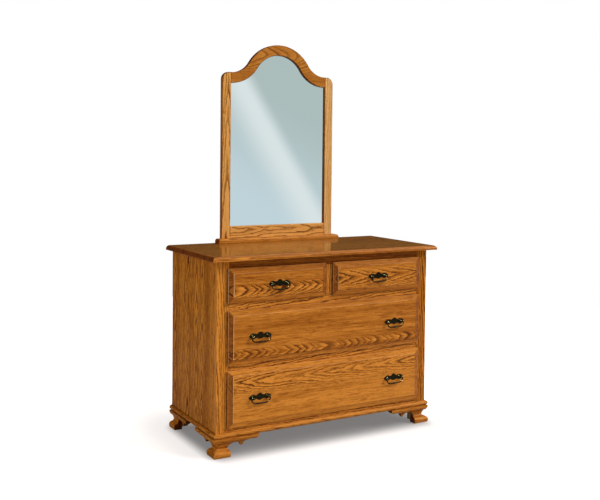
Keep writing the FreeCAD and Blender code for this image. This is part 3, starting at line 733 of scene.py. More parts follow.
def make_ends_group(shows: Steps = (0.06, 0.40, 0.0, 0.9)) -> bpy.types.NodeTree:
    """Shows where a face cuts across the grain, which drinks more stain.

    Args:
        shows: How steep the cut is where the end grain starts and is full, and how much it then shows.

    Returns:
        The node group.
    """
    wires, into, out = new_group("end grain", {"Normal": "Vector", "Grain": "Vector"}, {"End Grain": "Float"})
    normals = {0: into["Normal"], 1: into["Grain"]}
    cut = wires.add("ShaderNodeVectorMath", normals, operation="DOT_PRODUCT")["Value"]
    wires.feed(out, {"End Grain": wires.ease(wires.maths("ABSOLUTE", cut), *shows)})
    return wires.tree


STAVES = make_stave_group()
FIGURE = make_figure_group(Growth())
ENDS = make_ends_group()


class Grain(Enum):
    """Which way a board's grain runs, and which way its broad face looks, as axis numbers."""

    ALONG_X_FACING_Y = (0, 1)
    ALONG_X_FACING_Z = (0, 2)
    ALONG_Y_FACING_X = (1, 0)
    ALONG_Y_FACING_Z = (1, 2)
    ALONG_Z_FACING_X = (2, 0)
    ALONG_Z_FACING_Y = (2, 1)

    def turn(self) -> Matrix:
        """How a place in the frame is turned to a place in the board.

        Returns:
            The rotation to along, across and depth.
        """
        grain, face = self.value
        rows = [Vector((0, 0, 0)) for _ in range(3)]
        rows[0][grain] = 1
        rows[2][face] = 1
        rows[1] = rows[2].cross(rows[0])
        return Matrix(rows)


LEVEL = Grain.ALONG_X_FACING_Y
UPRIGHT = Grain.ALONG_Z_FACING_Y


@dataclass(frozen=True)
class Palette:
    """The colours of a finished wood and how it shines."""

    light: Colour
    middle: Colour
    dark: Colour
    pore: Colour
    roughness: float = 0.30
    shine: float = 0.13
    glint: Colour = (1.0, 0.62, 0.32)
    relief: float = 0.12 * MM
    # The next three fields are painted light on eased edges: the painted highlight's colour, how it breaks up
    # along the fibres, and the painted shade's colour.
    rubbed: Colour = (0.90, 0.55, 0.26)
    painted_highlight_through: Steps = (0.2, 0.7, 0.3, 0.9)
    painted_edge_shade: Colour = (0.25, 0.16, 0.10)
    end_stain: Colour = (0.34, 0.20, 0.12)
    streaks: float = 1.8
    fibres: float = 1.2
    late_wood: float = 0.4
    fleck: Colour = (0.55, 0.42, 0.34)
    flecks: float = 0.7
    grime: float = 0.25
    uneven: float = 0.06


GOLDEN_OAK = Palette((0.68, 0.250, 0.034), (0.36, 0.105, 0.008), (0.12, 0.029, 0.003), (0.06, 0.016, 0.002))
# A darker oak for the top rail, a painted shadow under the overhanging top.
PAINTED_SHADOW_OAK = Palette((0.50, 0.165, 0.018), (0.27, 0.072, 0.005), (0.08, 0.016, 0.002), (0.05, 0.010, 0.002),
                   shine=0.08)
PALE_OAK = Palette((0.82, 0.40, 0.10), (0.60, 0.24, 0.042), (0.20, 0.056, 0.008), (0.15, 0.044, 0.008),
                   fleck=(0.82, 0.72, 0.60))
# A lighter oak for the right mirror upright, a painted reflection of a light.
PAINTED_SHEEN_OAK = Palette((0.88, 0.50, 0.18), (0.64, 0.31, 0.085), (0.22, 0.066, 0.010), (0.12, 0.036, 0.008),
                    fleck=(0.8, 0.7, 0.6))
STILE_OAK = replace(GOLDEN_OAK, shine=0.04)
ARCH_OAK = Palette((0.57, 0.220, 0.033), (0.41, 0.132, 0.014), (0.22, 0.055, 0.006), (0.18, 0.044, 0.005),
                   fleck=(0.84, 0.72, 0.60))
# Painted shade: a darker oak for faces turned away from the light, the mirror frame's edges and the drawer
# lips' left sides.
SHADED_OAK = Palette((0.46, 0.160, 0.030), (0.28, 0.086, 0.013), (0.12, 0.030, 0.004), (0.07, 0.017, 0.003),
                     shine=0.05, fleck=(0.85, 0.8, 0.75))
# The top's upper face, painted darker than its edges: painted shade for how the light falls on it.
PAINTED_SHADE_TOP_OAK = Palette((0.42, 0.165, 0.026), (0.29, 0.096, 0.010), (0.14, 0.037, 0.006), (0.09, 0.024, 0.005),
                  roughness=0.08, shine=0.09, relief=0.01 * MM, grime=0.02)
SIDE_OAK = Palette((0.66, 0.243, 0.031), (0.37, 0.110, 0.008), (0.09, 0.018, 0.001), (0.05, 0.011, 0.001),
                   roughness=0.4, shine=0.01, streaks=2.0)
INNER_WOOD = Palette((0.70, 0.49, 0.27), (0.58, 0.38, 0.19), (0.42, 0.24, 0.11), (0.34, 0.19, 0.08),
                     roughness=0.5, glint=(1, 0.85, 0.7))
PLYWOOD = Palette((0.62, 0.45, 0.27), (0.52, 0.36, 0.20), (0.38, 0.23, 0.12), (0.30, 0.18, 0.09),
                  roughness=0.55, glint=(1, 0.85, 0.7))


@dataclass(frozen=True)
class WoodFinish:
    """One board's sawing and finish."""

    grain: Grain
    seed: float
    palette: Palette = GOLDEN_OAK
    ring: float = 2.5 * MM
    pith_across: float = 0.0
    pith_depth: float = 110 * MM
    taper: float = 0.07
    sway: float = 24 * MM
    wander: float = 1.8
    jag: float = 0.6
    strength: float = 1.0
    reach: float = 0.3
    stave: float = 0.0
    stave_start: float = 0.0
    stave_tone: float = 0.5
    tone: float = 0.0

    def material(self, name: str, centre: Place) -> bpy.types.Material:
        """Make the board's material.

        Args:
            name: Its name.
            centre: Middle of the board, from which its figure is measured.

        Returns:
            The material.
        """
        made, wires, shader = new_material(name)
        maths, palette = wires.maths, self.palette
        turn = self.grain.turn()
        feeds = {"Vector": wires.spot(), "Rotation": turn.to_euler(), "Location": -(turn @ Vector(centre))}
        vector = wires.add("ShaderNodeMapping", feeds)[0]
        tone = self.tone
        if self.stave:
            feeds = {"Vector": vector, "Width": self.stave, "Start": self.stave_start, "Seed": self.seed}
            staves = wires.add("ShaderNodeGroup", feeds, node_tree=STAVES)
            vector = staves["Vector"]
            tone = maths("MULTIPLY_ADD", staves["Tone"], self.stave_tone, self.tone - self.stave_tone / 2)
        feeds = {"Vector": vector, "Seed": self.seed, "Ring": self.ring, "Pith Across": self.pith_across,
                 "Pith Depth": self.pith_depth, "Taper": self.taper, "Sway": self.sway,
                 "Wander": self.wander, "Jag": self.jag, "Strength": self.strength, "Reach": self.reach}
        figure = wires.add("ShaderNodeGroup", feeds, node_tree=FIGURE)
        fibres = maths("MULTIPLY_ADD", figure["Fibre"], palette.fibres, -palette.fibres / 2)
        paler = maths("MULTIPLY_ADD", figure["Cloud"], palette.streaks, 0.5 - palette.streaks / 2)
        paler = maths("ADD", fibres, paler)
        paler = maths("MULTIPLY_ADD", figure["Late Wood"], palette.late_wood, paler)
        colour = wires.blend(wires.ease(maths("ADD", paler, tone), 0, 1), palette.middle, palette.light)
        flecks = maths("MULTIPLY", figure["Flecks"], palette.flecks)
        colour = wires.blend(flecks, colour, palette.fleck, "MULTIPLY")
        colour = wires.blend(maths("MINIMUM", figure["Early Wood"], 1.0), colour, palette.dark)
        colour = wires.blend(figure["Pores"], colour, palette.pore)
        feeds = {"Normal": wires.add("ShaderNodeTexCoord")["Normal"], "Grain": turn.row[0]}
        ends = wires.add("ShaderNodeGroup", feeds, node_tree=ENDS)["End Grain"]
        colour = wires.blend(ends, colour, palette.end_stain, "MULTIPLY")
        # Painted light on the eased edges: a painted highlight at the left and on top, painted shade at the
        # right and below.
        rubbed = wires.add("ShaderNodeAttribute", attribute_name=PAINTED_EDGE_LIGHT)["Fac"]
        pale = maths("MULTIPLY", rubbed, wires.ease(figure["Fibre"], *palette.painted_highlight_through))
        colour = wires.blend(maths("MAXIMUM", pale, 0.0), colour, palette.rubbed)
        painted_shade = maths("MAXIMUM", maths("MULTIPLY", rubbed, -1.0), 0.0)
        colour = wires.blend(painted_shade, colour, palette.painted_edge_shade, "MULTIPLY")
        rough = maths("MULTIPLY_ADD", figure["Pores"], palette.grime, palette.roughness)
        wires.feed(shader, {
            "Base Color": colour,
            "Roughness": maths("MULTIPLY_ADD", figure["Cloud"], palette.uneven, rough),
            "Specular IOR Level": palette.shine,
            "Specular Tint": palette.glint,
            "Normal": wires.relief(figure["Height"], palette.relief),
        })
        return made


@dataclass(frozen=True)
class MetalFinish:
    """Cast metal with a patina that is worn away where it stands proud, from a back to a front along Y."""

    base: Colour
    rubbed: Colour
    roughness: float
    back: float = 0.0
    front: float = -1.0
    rim: Colour = (1.0, 1.0, 1.0)
    lacquer: float = 0.0
    lacquer_roughness: float = 0.06
    patches: Pattern = Pattern((260, 260, 260), 2.7, 3, 0.6)
    uneven: float = 0.22
    grit: Pattern = Pattern((1500, 1500, 1500), 4.1, 2)
    relief: float = 0.08 * MM
    proud: float = 0.55
    rub: Steps = (0.62, 1.1)

    def material(self, name: str, centre: Place) -> bpy.types.Material:
        """Make the metal's material.

        Args:
            name: Its name.
            centre: Not used, because the patina doesn't start from the middle.

        Returns:
            The material.
        """
        made, wires, shader = new_material(name)
        spot = wires.spot()
        patches = wires.noise(spot, self.patches)
        proud = wires.ease(wires.split(spot)[Y], self.front, self.back, 1, 0)
        rubbed = wires.ease(wires.maths("MULTIPLY_ADD", proud, self.proud, patches), *self.rub)
        wires.feed(shader, {
            "Base Color": wires.blend(rubbed, self.base, self.rubbed),
            "Roughness": wires.maths("MULTIPLY_ADD", patches, self.uneven, self.roughness),
            "Metallic": 1,
            "Specular Tint": self.rim,
            "Coat Weight": self.lacquer,
            "Coat Roughness": self.lacquer_roughness,
            "Normal": wires.relief(wires.noise(spot, self.grit), self.relief),
        })
        return made


@dataclass(frozen=True)
class MirrorFinish:
    """Silvered glass whose colour is a painted reflection: a soft diagonal painted sheen over a tone that
    changes from top to bottom.
    """

    upper: Colour
    lower: Colour
    sheen: Colour
    slant: float = 0.64
    drift: Pattern = Pattern((1.5, 1.5, 1.5), 1.0, 1)
    drift_wide: float = 0.04
    rise: Steps = (-0.24, -0.02)
    fall: Steps = (-0.005, 0.105, 1, 0)
    lean: float = 0.5
    change: Steps = (-0.45, 0.25)
    roughness: float = 0.015
    uneven: float = 0.01

    def material(self, name: str, centre: Place) -> bpy.types.Material:
        """Make the mirror's material.

        Args:
            name: Its name.
            centre: Middle of the glass.

        Returns:
            The material.
        """
        made, wires, shader = new_material(name)
        place = wires.add("ShaderNodeMapping", {"Vector": wires.spot(), "Location": -Vector(centre)})[0]
        across, _, up = wires.split(place)
        drift = wires.noise(place, self.drift)
        slant = wires.maths("MULTIPLY_ADD", up, self.slant, across)
        slant = wires.maths("MULTIPLY_ADD", drift, self.drift_wide, slant)
        # Painted reflection: a diagonal streak over a tone that changes from top to bottom.
        painted_streak = wires.maths("MULTIPLY", wires.ease(slant, *self.rise), wires.ease(slant, *self.fall))
        height = wires.maths("MULTIPLY_ADD", across, self.lean, up)
        painted_reflection = wires.blend(wires.ease(height, *self.change), self.lower, self.upper)
        wires.feed(shader, {
            "Base Color": wires.blend(painted_streak, painted_reflection, self.sheen),
            "Metallic": 1,
            "Roughness": wires.maths("MULTIPLY_ADD", drift, self.uneven, self.roughness),
        })
        return made


@dataclass(frozen=True)
class FloorPaint:
    """Pale paint with a painted shadow near the piece, where the paint is darker and the glow weaker, and
    white further out.
    """

    half_wide: float = 0.55
    half_deep: float = 0.20
    narrower: float = 1.7
    speckle: Pattern = Pattern((30, 30, 30), 1.0, 2)
    speckle_share: float = 0.02
    # The near and far steps, the near share and the glow fields make the painted shadow near the piece.
    near: Steps = (0.0, 0.17)
    far: Steps = (0.17, 0.45, 0.12, 0.62)
    near_share: float = 0.18
    white: Colour = (1.0, 0.97, 0.955)
    glow: Colour = (1.0, 0.965, 0.945)
    glow_curve: float = 1.5
    glow_far: float = 0.6
    glow_near: float = 0.19
    roughness: float = 0.9
    shine: float = 0.1

    def material(self, name: str, centre: Place) -> bpy.types.Material:
        """Make the floor's material.

        Args:
            name: Its name.
            centre: The middle of the shadow's ground.

        Returns:
            The material.
        """
        made, wires, shader = new_material(name)
        maths = wires.maths
        black = (0.0, 0.0, 0.0)
        spot = wires.spot()
        place = wires.add("ShaderNodeMapping", {"Vector": spot, "Location": -Vector(centre)})[0]
        across, along, _ = wires.split(place)
        beside = maths("MAXIMUM", maths("SUBTRACT", maths("ABSOLUTE", across), self.half_wide), 0.0)
        beside = maths("MULTIPLY", beside, self.narrower)
        before = maths("MAXIMUM", maths("SUBTRACT", maths("ABSOLUTE", along), self.half_deep), 0.0)
        away = maths("SQRT", maths("MULTIPLY_ADD", beside, beside, maths("MULTIPLY", before, before)))
        # Painted shadow: near the piece the paint is darker and the glow weaker.
        shade = wires.ease(away, *self.near)
        paint = maths("MULTIPLY_ADD", wires.noise(spot, self.speckle), self.speckle_share,
                      wires.ease(away, *self.far))
        paint = maths("MULTIPLY_ADD", shade, self.near_share, paint)
        lift = maths("MULTIPLY_ADD", maths("POWER", shade, self.glow_curve), self.glow_far, self.glow_near)
        glow = maths("MULTIPLY", lift, wires.seen_directly())
        wires.feed(shader, {
            "Base Color": wires.blend(paint, black, self.white),
            "Roughness": self.roughness,
            "Specular IOR Level": self.shine,
            "Emission Color": wires.blend(glow, black, self.glow),
            "Emission Strength": 1,
        })
        return made


@dataclass(frozen=True)
class CardCloth:
    """Dark matt cloth."""

    dark: Colour = (0.05, 0.035, 0.02)
    light: Colour = (0.07, 0.05, 0.03)
    weave: Pattern = Pattern((3, 3, 3), 5.0, 2)

    def material(self, name: str, centre: Place) -> bpy.types.Material:
        """Make the cloth's material.

        Args:
            name: Its name.
            centre: Not used, because the weave is the same all over.

        Returns:
            The material.
        """
        made, wires, shader = new_material(name)
        weave = wires.blend(wires.noise(wires.spot(), self.weave), self.dark, self.light)
        wires.feed(shader, {"Base Color": weave, "Roughness": 1, "Specular IOR Level": 0})
        return made


Finish = WoodFinish | MetalFinish | MirrorFinish | FloorPaint | CardCloth

BRASS = MetalFinish((0.007, 0.006, 0.002), (0.06, 0.04, 0.02), 0.12, -0.278, -0.310, (0.25, 0.19, 0.12), 0.05)
STEEL = MetalFinish((0.30, 0.30, 0.31), (0.55, 0.55, 0.56), 0.3)
# The glass's colours are a painted reflection.
SILVERED = MirrorFinish((0.41, 0.51, 0.50), (0.52, 0.65, 0.70), (0.68, 0.76, 0.77))


def middle(piece: Piece) -> Vector:
    """The middle of a piece's own box.

    Args:
        piece: The piece.

    Returns:
        The place.
    """
    corners = [point.co for point in piece.data.vertices]
    low = Vector(min(corner[axis] for corner in corners) for axis in range(3))
    high = Vector(max(corner[axis] for corner in corners) for axis in range(3))
    return (low + high) / 2


def dress(piece: Piece, finish: Finish) -> None:
    """Give a piece one finish."""
    piece.data.materials.clear()
    piece.data.materials.append(finish.material(f"{piece.name}_finish", middle(piece)))


def dress_faces(piece: Piece, finish: Finish, test: Test) -> None:
    """Give some faces of a dressed piece a second finish.

    Args:
        piece: The piece.
        finish: The second finish.
        test: Says whether a face takes it.
    """
    piece.data.materials.append(finish.material(f"{piece.name}_edges", middle(piece)))
    for face in piece.data.polygons:
        if test(face):
            face.material_index = 1


def dress_node(node: str, finish: Finish) -> None:
    """Give a CAD node that stays as it is a finish."""
    dress(frame["nodes"][node], finish)
    log.info("%s keeps its own shape", node)


def stand_in(piece: Piece, node: str, body: str = "case") -> None:
    """Let a finished piece stand for a CAD node and ride on its body.

    Args:
        piece: The piece.
        node: The CAD node that it replaces.
        body: The body that it moves with.
    """
    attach(piece, body)
    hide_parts(node)
    log.info("%s stands for %s on %s, %d faces", piece.name, node, body, len(piece.data.polygons))


# The dresser


def rounded_slab(name: str, node: str, inward: float, downward: float, roundness: float,
                 under: float) -> Piece:
    """A board whose upper edges are rounded along the front and both ends.

    Args:
        name: The piece's name.
        node: The CAD node whose box it fills.
        inward: Width of the rounding.
        downward: Height of the rounding.
        roundness: Of its arc.
        under: Easing of the lower edges.

    Returns:
        The slab.
    """
    low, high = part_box(node)
    shoulder = high.z - downward
    piece = add_block(name, low, (high.x, high.y + 2 * inward, shoulder))
    with shaping(piece):
        pick(Pick.EDGES, lambda edge: lies_at(edge, Z, low.z))
        bevel(under, segments=3)
        pick(Pick.FACES, facing((0, 0, 1)))
        before = Vector((0, -downward))
        for after in arc(before, (inward, 0), -roundness, steps=9):
            step = after - before
            bpy.ops.mesh.inset(thickness=step.x, depth=step.y, use_even_offset=True)
            before = after
        cut_off((0, high.y, 0), (0, 1, 0))
    polish(piece, angle=24)
    return piece


BACK_BOARD = WoodFinish(UPRIGHT, 85, PLYWOOD, ring=11 * MM, pith_depth=120 * MM, taper=0.03, strength=0.6)


@dataclass
class Case:
    """The carcase: sides, face frame, top, back and the frames that carry the drawers."""

    ease: float = 1.0 * MM
    top_round_in: float = 19 * MM
    top_round_down: float = 15 * MM
    top_roundness: float = 0.36
    top_under: float = 1.6 * MM
    top_face: float = 0.95
    first_stave: float = 50 * MM
    stave: float = 118 * MM

    def build(self) -> None:
        """Make every piece of the case."""
        self.make_top()
        self.make_sides()
        self.make_face_frame()
        self.dress_inside()

    def make_top(self) -> None:
        """The moulded top board."""
        top = rounded_slab("top", "top_board", self.top_round_in, self.top_round_down, self.top_roundness,
                           self.top_under)
        # Painted shade: the upper face takes a darker oak than the edges.
        dress(top, WoodFinish(Grain.ALONG_X_FACING_Z, 31, PAINTED_SHADE_TOP_OAK, stave=145 * MM, stave_start=-0.29,
                              taper=0.05, strength=0.8))
        edges = WoodFinish(LEVEL, 32, pith_across=60 * MM, taper=0.01, strength=0.5, tone=-0.12)
        dress_faces(top, edges, lambda face: face.normal.z < self.top_face)
        stand_in(top, "top_board")

    def make_sides(self) -> None:
        """The glued-up side panels."""
        for side, seed in (("left", 84.0), ("right", 17.0)):
            node = f"{side}_side"
            low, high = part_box(node)
            panel = board(f"{side}_panel", low, high, self.ease)
            start = (high.y - low.y) / 2 - self.first_stave
            start = start if side == "left" else -start
            dress(panel, WoodFinish(Grain.ALONG_Z_FACING_X, seed, SIDE_OAK, ring=4.5 * MM, stave=self.stave,
                                    stave_start=start, taper=0.04, jag=0.9, strength=0.8))
            stand_in(panel, node)

    def make_face_frame(self) -> None:
        """Stiles and rails of the front."""
        finishes = {
            "left_stile": WoodFinish(UPRIGHT, 3, STILE_OAK, ring=5 * MM, pith_across=-62 * MM, taper=0.03,
                                     wander=2.4, jag=0.9, tone=0.3, strength=0.75),
            "right_stile": WoodFinish(UPRIGHT, 8, STILE_OAK, ring=5 * MM, pith_across=60 * MM, taper=-0.03,
                                      wander=2.4, jag=0.9, tone=-0.2, strength=1.2),
            "centre_stile": WoodFinish(UPRIGHT, 5, STILE_OAK, ring=4 * MM, pith_across=60 * MM, taper=0.01,
                                       tone=0.1),
            "bottom_rail": WoodFinish(LEVEL, 14, ring=4 * MM, pith_across=50 * MM, taper=0.01, jag=0.9),
            "lower_rail": WoodFinish(LEVEL, 21, ring=5 * MM, pith_across=-42 * MM, taper=0.03, wander=3.0,
                                     jag=0.9, tone=0.15),
            "upper_rail": WoodFinish(LEVEL, 25, ring=5 * MM, pith_across=36 * MM, taper=-0.03, wander=3.0,
                                     jag=0.9, tone=0.15),
            # The top rail is painted darker, a painted shadow under the top board.
            "top_rail": WoodFinish(LEVEL, 28, PAINTED_SHADOW_OAK, ring=5 * MM, pith_across=50 * MM, taper=0.01,
                                   tone=-0.45, strength=0.8),
        }
        for node, finish in finishes.items():
            piece = board(f"front_{node}", *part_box(node), self.ease)
            dress(piece, finish)
            stand_in(piece, node)

    def dress_inside(self) -> None:
        """Finishes of the pieces inside and behind, whose CAD shapes are right."""
        for seed, row in enumerate(("bottom", "lower", "upper", "top"), 41):
            bars = WoodFinish(Grain.ALONG_Y_FACING_Z, seed, INNER_WOOD, strength=0.5)
            dress_node(f"{row}_web_frame", bars)
        dress_node("dust_panels", WoodFinish(Grain.ALONG_X_FACING_Z, 46, PLYWOOD, taper=0.02, strength=0.5))
        dress_node("back_panel", replace(BACK_BOARD, seed=47))


@dataclass
class Base:
    """The moulding under the case and its four bracket feet."""

    mould_out: float = 13 * MM
    mould_in: float = 47 * MM
    quirk: float = 3 * MM
    nose_roundness: float = 0.9
    foot_high: float = 86 * MM
    foot_out: float = 15 * MM
    foot_in: float = 27 * MM
    foot_ease: float = 0.9 * MM
    foot_ease_angle: float = math.radians(40)
    bracket_long: float = 212 * MM
    back_long: float = 150 * MM
    back_thick: float = 20 * MM
    back_ease: float = 0.8 * MM
    foot_finishes: tuple = ((LEVEL, Grain.ALONG_Y_FACING_X), (GOLDEN_OAK, SIDE_OAK))
    nose_steps: int = 14
    scroll_steps: int = 8
    section_shares: tuple = (
        (-0.80, 0.00, -0.08), (-1.00, 0.17, -0.28), (-0.40, 0.325, 0.32), (0.67, 0.44, 0.10),
        (0.13, 0.69, -0.22), (-0.83, 0.88, 0.00), (-0.93, 1.00, 0.00),
    )
    scroll_shares: tuple = (
        (0.325, 0.23, 0.15), (0.292, 0.42, -0.15), (0.363, 0.63, -0.32), (0.590, 0.58, 0.15),
        (0.627, 0.44, 0.15), (0.675, 0.65, -0.20), (0.906, 0.78, 0.20), (0.986, 0.83, -0.20),
    )

    def build(self) -> None:
        """Make the mouldings and feet."""
        self.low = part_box("left_stile")[0]
        self.corner = Vector((self.low.x, self.low.y, 0))
        self.back_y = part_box("left_side")[1].y
        self.make_mouldings()
        self.make_feet()
        dress_node("base_back_rail", WoodFinish(Grain.ALONG_X_FACING_Z, 51, INNER_WOOD, strength=0.5))
        dress_node("foot_blocks", WoodFinish(Grain.ALONG_Z_FACING_X, 52, INNER_WOOD, strength=0.5))

    def nose(self) -> list[Vector]:
        """Section of the moulding.

        Returns:
            Points inwards and up from the foot of the case's face.
        """
        high = self.low.z - self.foot_high
        back = -(self.mould_out - (high - self.quirk) * self.nose_roundness / 2)
        return outline([
            (back, 0), (back, self.quirk, -self.nose_roundness), (back, high),
            (self.mould_in, high), (self.mould_in, 0),
        ], self.nose_steps)

    def make_moulding(self, name: str, points: Sequence[Place], along: Place,
                      mitres: Sequence[tuple[Place, Place]]) -> Piece:
        """A length of moulding.

        Args:
            name: The piece's name.
            points: Its section.
            along: Its length.
            mitres: For each mitre, a point on it and the side that is cut away.

        Returns:
            The moulding.
        """
        piece = trace(name, points)
        with shaping(piece):
            extrude(along)
            for through, outwards in mitres:
                cut_off(through, outwards)
        polish(piece)
        return piece

    def make_mouldings(self) -> None:
        """Front and side mouldings, mitred at the front corners."""
        reach = -self.corner.x + self.mould_out
        start = Vector((-reach, self.corner.y, self.foot_high))
        section = [start + Vector((0, out, up)) for out, up in self.nose()]
        mitres = [((side * -self.corner.x, self.corner.y, 0), (side, 1, 0)) for side in (-1, 1)]
        front = self.make_moulding("front_moulding", section, (2 * reach, 0, 0), mitres)
        dress(front, WoodFinish(LEVEL, 61, pith_across=35 * MM, taper=0.03, strength=0.6, tone=0.3))
        stand_in(front, "base_front_moulding")

        start = Vector((self.corner.x, self.corner.y - self.mould_out, self.foot_high))
        section = [start + Vector((out, 0, up)) for out, up in self.nose()]
        along = (0, self.back_y - start.y, 0)
        left = self.make_moulding("left_moulding", section, along, [(self.corner, (1, -1, 0))])
        right = twin(left, "right_moulding", FLIP)
        for piece, seed in ((left, 62), (right, 63)):
            dress(piece, WoodFinish(Grain.ALONG_Y_FACING_X, seed, SIDE_OAK, pith_across=35 * MM,
                                    taper=0.03, strength=0.7))
            stand_in(piece, f"base_{piece.name}")

    def make_bracket(self, name: str, mitred: bool) -> Piece:
        """A foot bracket with its length along X from the corner and its outside to the front.

        Args:
            name: The piece's name.
            mitred: Whether its end is cut for the other bracket.

        Returns:
            The bracket, with its corner at the origin.
        """
        corners = [(self.foot_in, 0)]
        corners += [(self.foot_out * out, self.foot_high * up, bow) for out, up, bow in self.section_shares]
        corners.append((self.foot_in, self.foot_high))
        start = -self.foot_out if mitred else 0
        bracket = trace(name, [(start, out, up) for out, up in outline(corners, self.scroll_steps)])
        with shaping(bracket):
            extrude((self.bracket_long - start, 0, 0))
        shares = self.scroll_shares
        wing = (shares[-1][1] + 1) / 2 * self.foot_high
        corners = [(shares[0][0] * self.bracket_long, -OVERRUN)]
        corners += [(along * self.bracket_long, up * self.foot_high, bow) for along, up, bow in shares]
        corners += [(self.bracket_long, wing), (self.bracket_long + OVERRUN, wing),
                    (self.bracket_long + OVERRUN, -OVERRUN)]
        reach = self.foot_out + OVERRUN
        carve(bracket, sawn("scroll_tool", outline(corners, self.scroll_steps), -reach,
                            reach + self.foot_in + OVERRUN))
        with shaping(bracket):
            if mitred:
                cut_off((0, 0, 0), (-1, 1, 0))
            bpy.ops.mesh.select_all(action="SELECT")
            bpy.ops.mesh.remove_doubles(threshold=2 * TOUCHING)
        modify(bracket, "BEVEL", width=self.foot_ease, segments=2, limit_method="ANGLE",
               angle_limit=self.foot_ease_angle)
        polish(bracket, angle=34)
        return bracket

    def make_feet(self) -> None:
        """Two brackets at each front corner, and one with a plain back board at each rear one."""
        across_corner = Matrix(((0, 1, 0, 0), (1, 0, 0, 0), (0, 0, 1, 0), (0, 0, 0, 1)))
        at_corner = Matrix.Translation(self.corner)
        bracket = self.make_bracket("bracket", True)
        front = twin(bracket, "front_bracket", at_corner)
        side = twin(bracket, "side_bracket", at_corner @ across_corner)
        self.finish_feet("front", front, side, (76, 80))
        bpy.data.objects.remove(bracket)

        at_rear_corner = Matrix.Translation((self.corner.x, self.back_y, 0))
        plain = self.make_bracket("rear_side_bracket", False)
        plain.data.transform(at_rear_corner @ Matrix.Rotation(-QUARTER_TURN, 4, "Z"))
        low = Vector((self.corner.x + self.foot_in, self.back_y - self.back_thick, 0))
        long, high = self.back_long, self.foot_high
        corners = [(0, 0), (long / 3, 0), (long, high / 2), (long, high), (0, high)]
        back = trace("rear_bracket", [low + Vector((along, 0, up)) for along, up in corners])
        with shaping(back):
            extrude((0, self.back_thick, 0))
            pick(Pick.EDGES, sharp)
            bevel(self.back_ease)
        polish(back)
        self.finish_feet("rear", back, plain, (75, 79))

    def finish_feet(self, end: str, facing_front: Piece, facing_side: Piece, seeds: tuple[int, int]) -> None:
        """Mirror a left foot's two brackets for the right foot, and dress and join each pair.

        Args:
            end: Front or rear.
            facing_front: The bracket with its grain along X.
            facing_side: The bracket with its grain along Y.
            seeds: The left and the right foot's figure.
        """
        pair = (facing_front, facing_side)
        mirrored = tuple(twin(piece, f"{piece.name}_mirrored", FLIP) for piece in pair)
        for side, brackets, seed in (("left", pair, seeds[0]), ("right", mirrored, seeds[1])):
            for piece, grain, palette in zip(brackets, *self.foot_finishes):
                dress(piece, WoodFinish(grain, seed, palette, pith_across=25 * MM, taper=0.06, strength=0.45))
            stand_in(join(brackets, f"{end}_{side}_bracket_foot"), f"{end}_{side}_foot")


